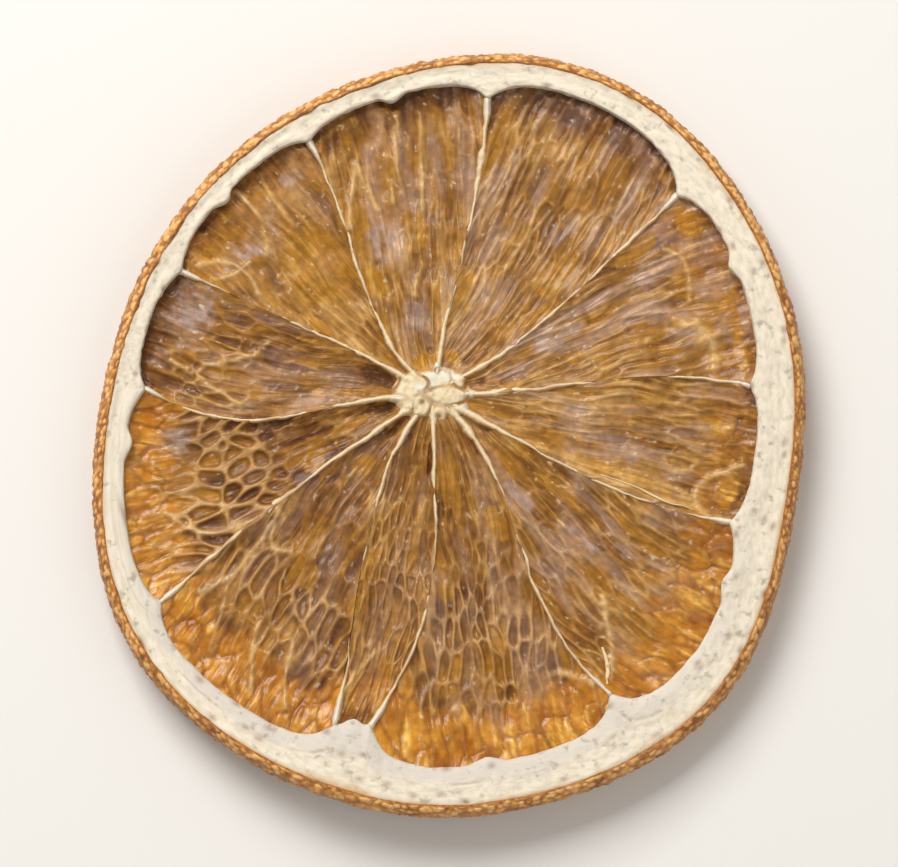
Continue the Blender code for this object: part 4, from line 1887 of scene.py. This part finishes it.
@dataclass
class Strands:
    """The loose fibres that lie on the pulp."""

    form: SliceForm
    under: list[bpy.types.Object]
    finish: DriedFibre = field(default_factory=DriedFibre)
    rings: int = 90
    sides: int = 12

    def build(self) -> list[bpy.types.Object]:
        """Makes the strands, laid on the pieces under them.

        Returns:
            The pieces.
        """
        blank, material = tube_blank(self.rings, self.sides), self.finish.material()
        trees = [self.tree_of(piece) for piece in self.under]
        return [self.lay(n, strand, blank, material, trees) for n, strand in enumerate(STRANDS)]

    def tree_of(self, piece: bpy.types.Object) -> BVHTree:
        """A piece's surface, to drop points on.

        Args:
            piece: the piece.

        Returns:
            The surface as a search tree, in metres.
        """
        piece.data.calc_loop_triangles()
        return BVHTree.FromPolygons(
            [v.co for v in piece.data.vertices], [tuple(t.vertices) for t in piece.data.loop_triangles]
        )

    def top(self, trees: list[BVHTree], x: float, y: float) -> float:
        """How high the pieces stand at a place.

        Args:
            trees: the pieces' surfaces.
            x: the place's x in mm.
            y: the place's y in mm.

        Returns:
            The height in mm, never below the slice's plain surface.
        """
        above, down = Vector((x, y, 20.0)) * MM, Vector((0, 0, -1))
        hits = [tree.ray_cast(above, down)[0] for tree in trees]
        plain = float(self.form.curl(np.float64(x), np.float64(y))) + self.form.pulp_half_height
        return max([plain + self.form.offset[2]] + [hit.z / MM for hit in hits if hit is not None])

    def lay(
        self, number: int, strand: Strand, blank: Blank, material: bpy.types.Material, trees: list[BVHTree]
    ) -> bpy.types.Object:
        """Makes one strand.

        Args:
            number: the strand.
            strand: its line and thickness.
            blank: the plain tube.
            material: the finish.
            trees: the surfaces that it lies on.

        Returns:
            The piece.
        """
        side_x, side_y, along = blank.places.T
        steps = np.linspace(0, 1, self.rings + 1)
        x, y = smooth_path(self.form, strand.points, self.rings)
        x = x + self.form.offset[0] + 0.08 * ripple(steps * 7, steps * 0 + number, 5001)
        y = y + self.form.offset[1] + 0.08 * ripple(steps * 7, steps * 0 + number, 5005)
        z = np.array([self.top(trees, *place) for place in zip(x, y)])
        for _ in range(4):
            z[1:-1] = (z[:-2] + z[1:-1] + z[2:]) / 3
        z = z + strand.rise * np.sin(np.pi * steps)
        tangent = np.arctan2(np.gradient(y), np.gradient(x))
        thick = strand.thickness * (0.45 + 0.55 * np.sin(np.pi * np.clip(steps, 0.06, 0.94)))
        thick = thick * (1 + 0.3 * ripple(steps * 9, steps * 0 + number, 5011))
        x, y, z, tangent, thick = (np.interp(along, steps, values) for values in (x, y, z, tangent, thick))
        places = np.column_stack([
            x - side_x * thick * np.sin(tangent),
            y + side_x * thick * np.cos(tangent),
            np.maximum(z + side_y * thick, 0),
        ])
        # The strand's upper side is painted paler and its underside darker: painted light and shade.
        masks = {"crest": 0.5 + 0.4 * side_y, "stain": np.full(len(x), 0.2), "chalk": np.zeros(len(x))}
        return make_piece(f"strand_{number + 1:02d}", blank, places, material, masks)


# The stage.


@dataclass(frozen=True)
class Stage:
    """A plain pale floor, soft studio light, and the camera nearly straight above the slice."""

    floor_colour: str = "E4E0DA"
    floor_side: float = 2.0
    camera_elevation: float = 86.0
    lens: float = 200.0
    fill: float = 0.88
    picture_width: int = 898
    picture_height: int = 867
    floor_gap: float = 0.00002
    sky_colour: str = "F4F2EE"
    sky_strength: float = 0.42

    def build(self) -> None:
        """Makes the floor, the lights and the camera."""
        self.build_floor()
        self.build_light("key", (-0.16, 0.30, 0.36), 0.26, 2.6)
        self.build_light("fill", (0.30, -0.22, 0.40), 0.5, 0.6)
        self.build_world()
        self.build_camera()

    def build_floor(self) -> None:
        """Makes the floor just below the slice."""
        shape = bmesh.new()
        bmesh.ops.create_grid(shape, x_segments=1, y_segments=1, size=self.floor_side / 2)
        bmesh.ops.translate(shape, verts=shape.verts, vec=(0, 0, -self.floor_gap))
        mesh = bpy.data.meshes.new("floor")
        shape.to_mesh(mesh)
        shape.free()
        layers = Layers("matt_paper")
        layers.shader.inputs["Base Color"].default_value = linear(self.floor_colour)
        layers.shader.inputs["Roughness"].default_value = 0.9
        mesh.materials.append(layers.material)
        floor = bpy.data.objects.new("floor", mesh)
        bpy.context.scene.collection.objects.link(floor)

    def build_light(self, name: str, place: tuple[float, float, float], size: float, power: float) -> None:
        """Makes a soft square light that points at the slice.

        Args:
            name: the light's name.
            place: where it stands, in metres.
            size: its side, in metres.
            power: its power, in watts.
        """
        data = bpy.data.lights.new(name, "AREA")
        data.size, data.energy = size, power
        light = bpy.data.objects.new(name, data)
        light.location = place
        light.rotation_euler = (-Vector(place)).to_track_quat("-Z", "Y").to_euler()
        bpy.context.scene.collection.objects.link(light)

    def build_world(self) -> None:
        """Sets the even light from all round."""
        world = bpy.data.worlds.new("studio")
        world.use_nodes = True
        sky = world.node_tree.nodes["Background"]
        sky.inputs["Color"].default_value = linear(self.sky_colour)
        sky.inputs["Strength"].default_value = self.sky_strength
        bpy.context.scene.world = world
        bpy.context.scene.view_settings.view_transform = "Standard"

    def build_camera(self) -> None:
        """Makes the camera, far enough off that the slice fills most of the picture's height."""
        low, high = (Vector(corner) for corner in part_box(NODE))
        centre = (low + high) / 2
        data = bpy.data.cameras.new("camera")
        data.lens = self.lens
        sensor_height = data.sensor_width * self.picture_height / self.picture_width
        distance = (high.y - low.y) / self.fill * data.lens / sensor_height
        tilt = math.radians(self.camera_elevation)
        back = Vector((0, -math.cos(tilt), math.sin(tilt)))
        camera = bpy.data.objects.new("camera", data)
        camera.location = centre + back * distance
        camera.rotation_euler = (-back).to_track_quat("-Z", "Y").to_euler()
        data.clip_start, data.clip_end = 0.01, 5.0
        bpy.context.scene.collection.objects.link(camera)
        bpy.context.scene.camera = camera


def main() -> None:
    """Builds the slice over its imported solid, and the stage."""
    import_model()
    Stage().build()
    form = SliceForm()
    pieces: list[bpy.types.Object] = []
    steps: list[Callable[[], list[bpy.types.Object]]] = [
        Rind(form).build,
        Pulp(form).build,
        Core(form).build,
        Membranes(form).build,
        lambda: Strands(form, [piece for piece in pieces if piece.name.startswith("pulp")]).build(),
    ]
    for step in steps:
        made = step()
        pieces += made
        for piece in made:
            log.info("%s: %d faces", piece.name, len(piece.data.polygons))


if __name__ == "__main__":
    logging.basicConfig(level=logging.INFO, format="%(name)s: %(message)s")
    main()
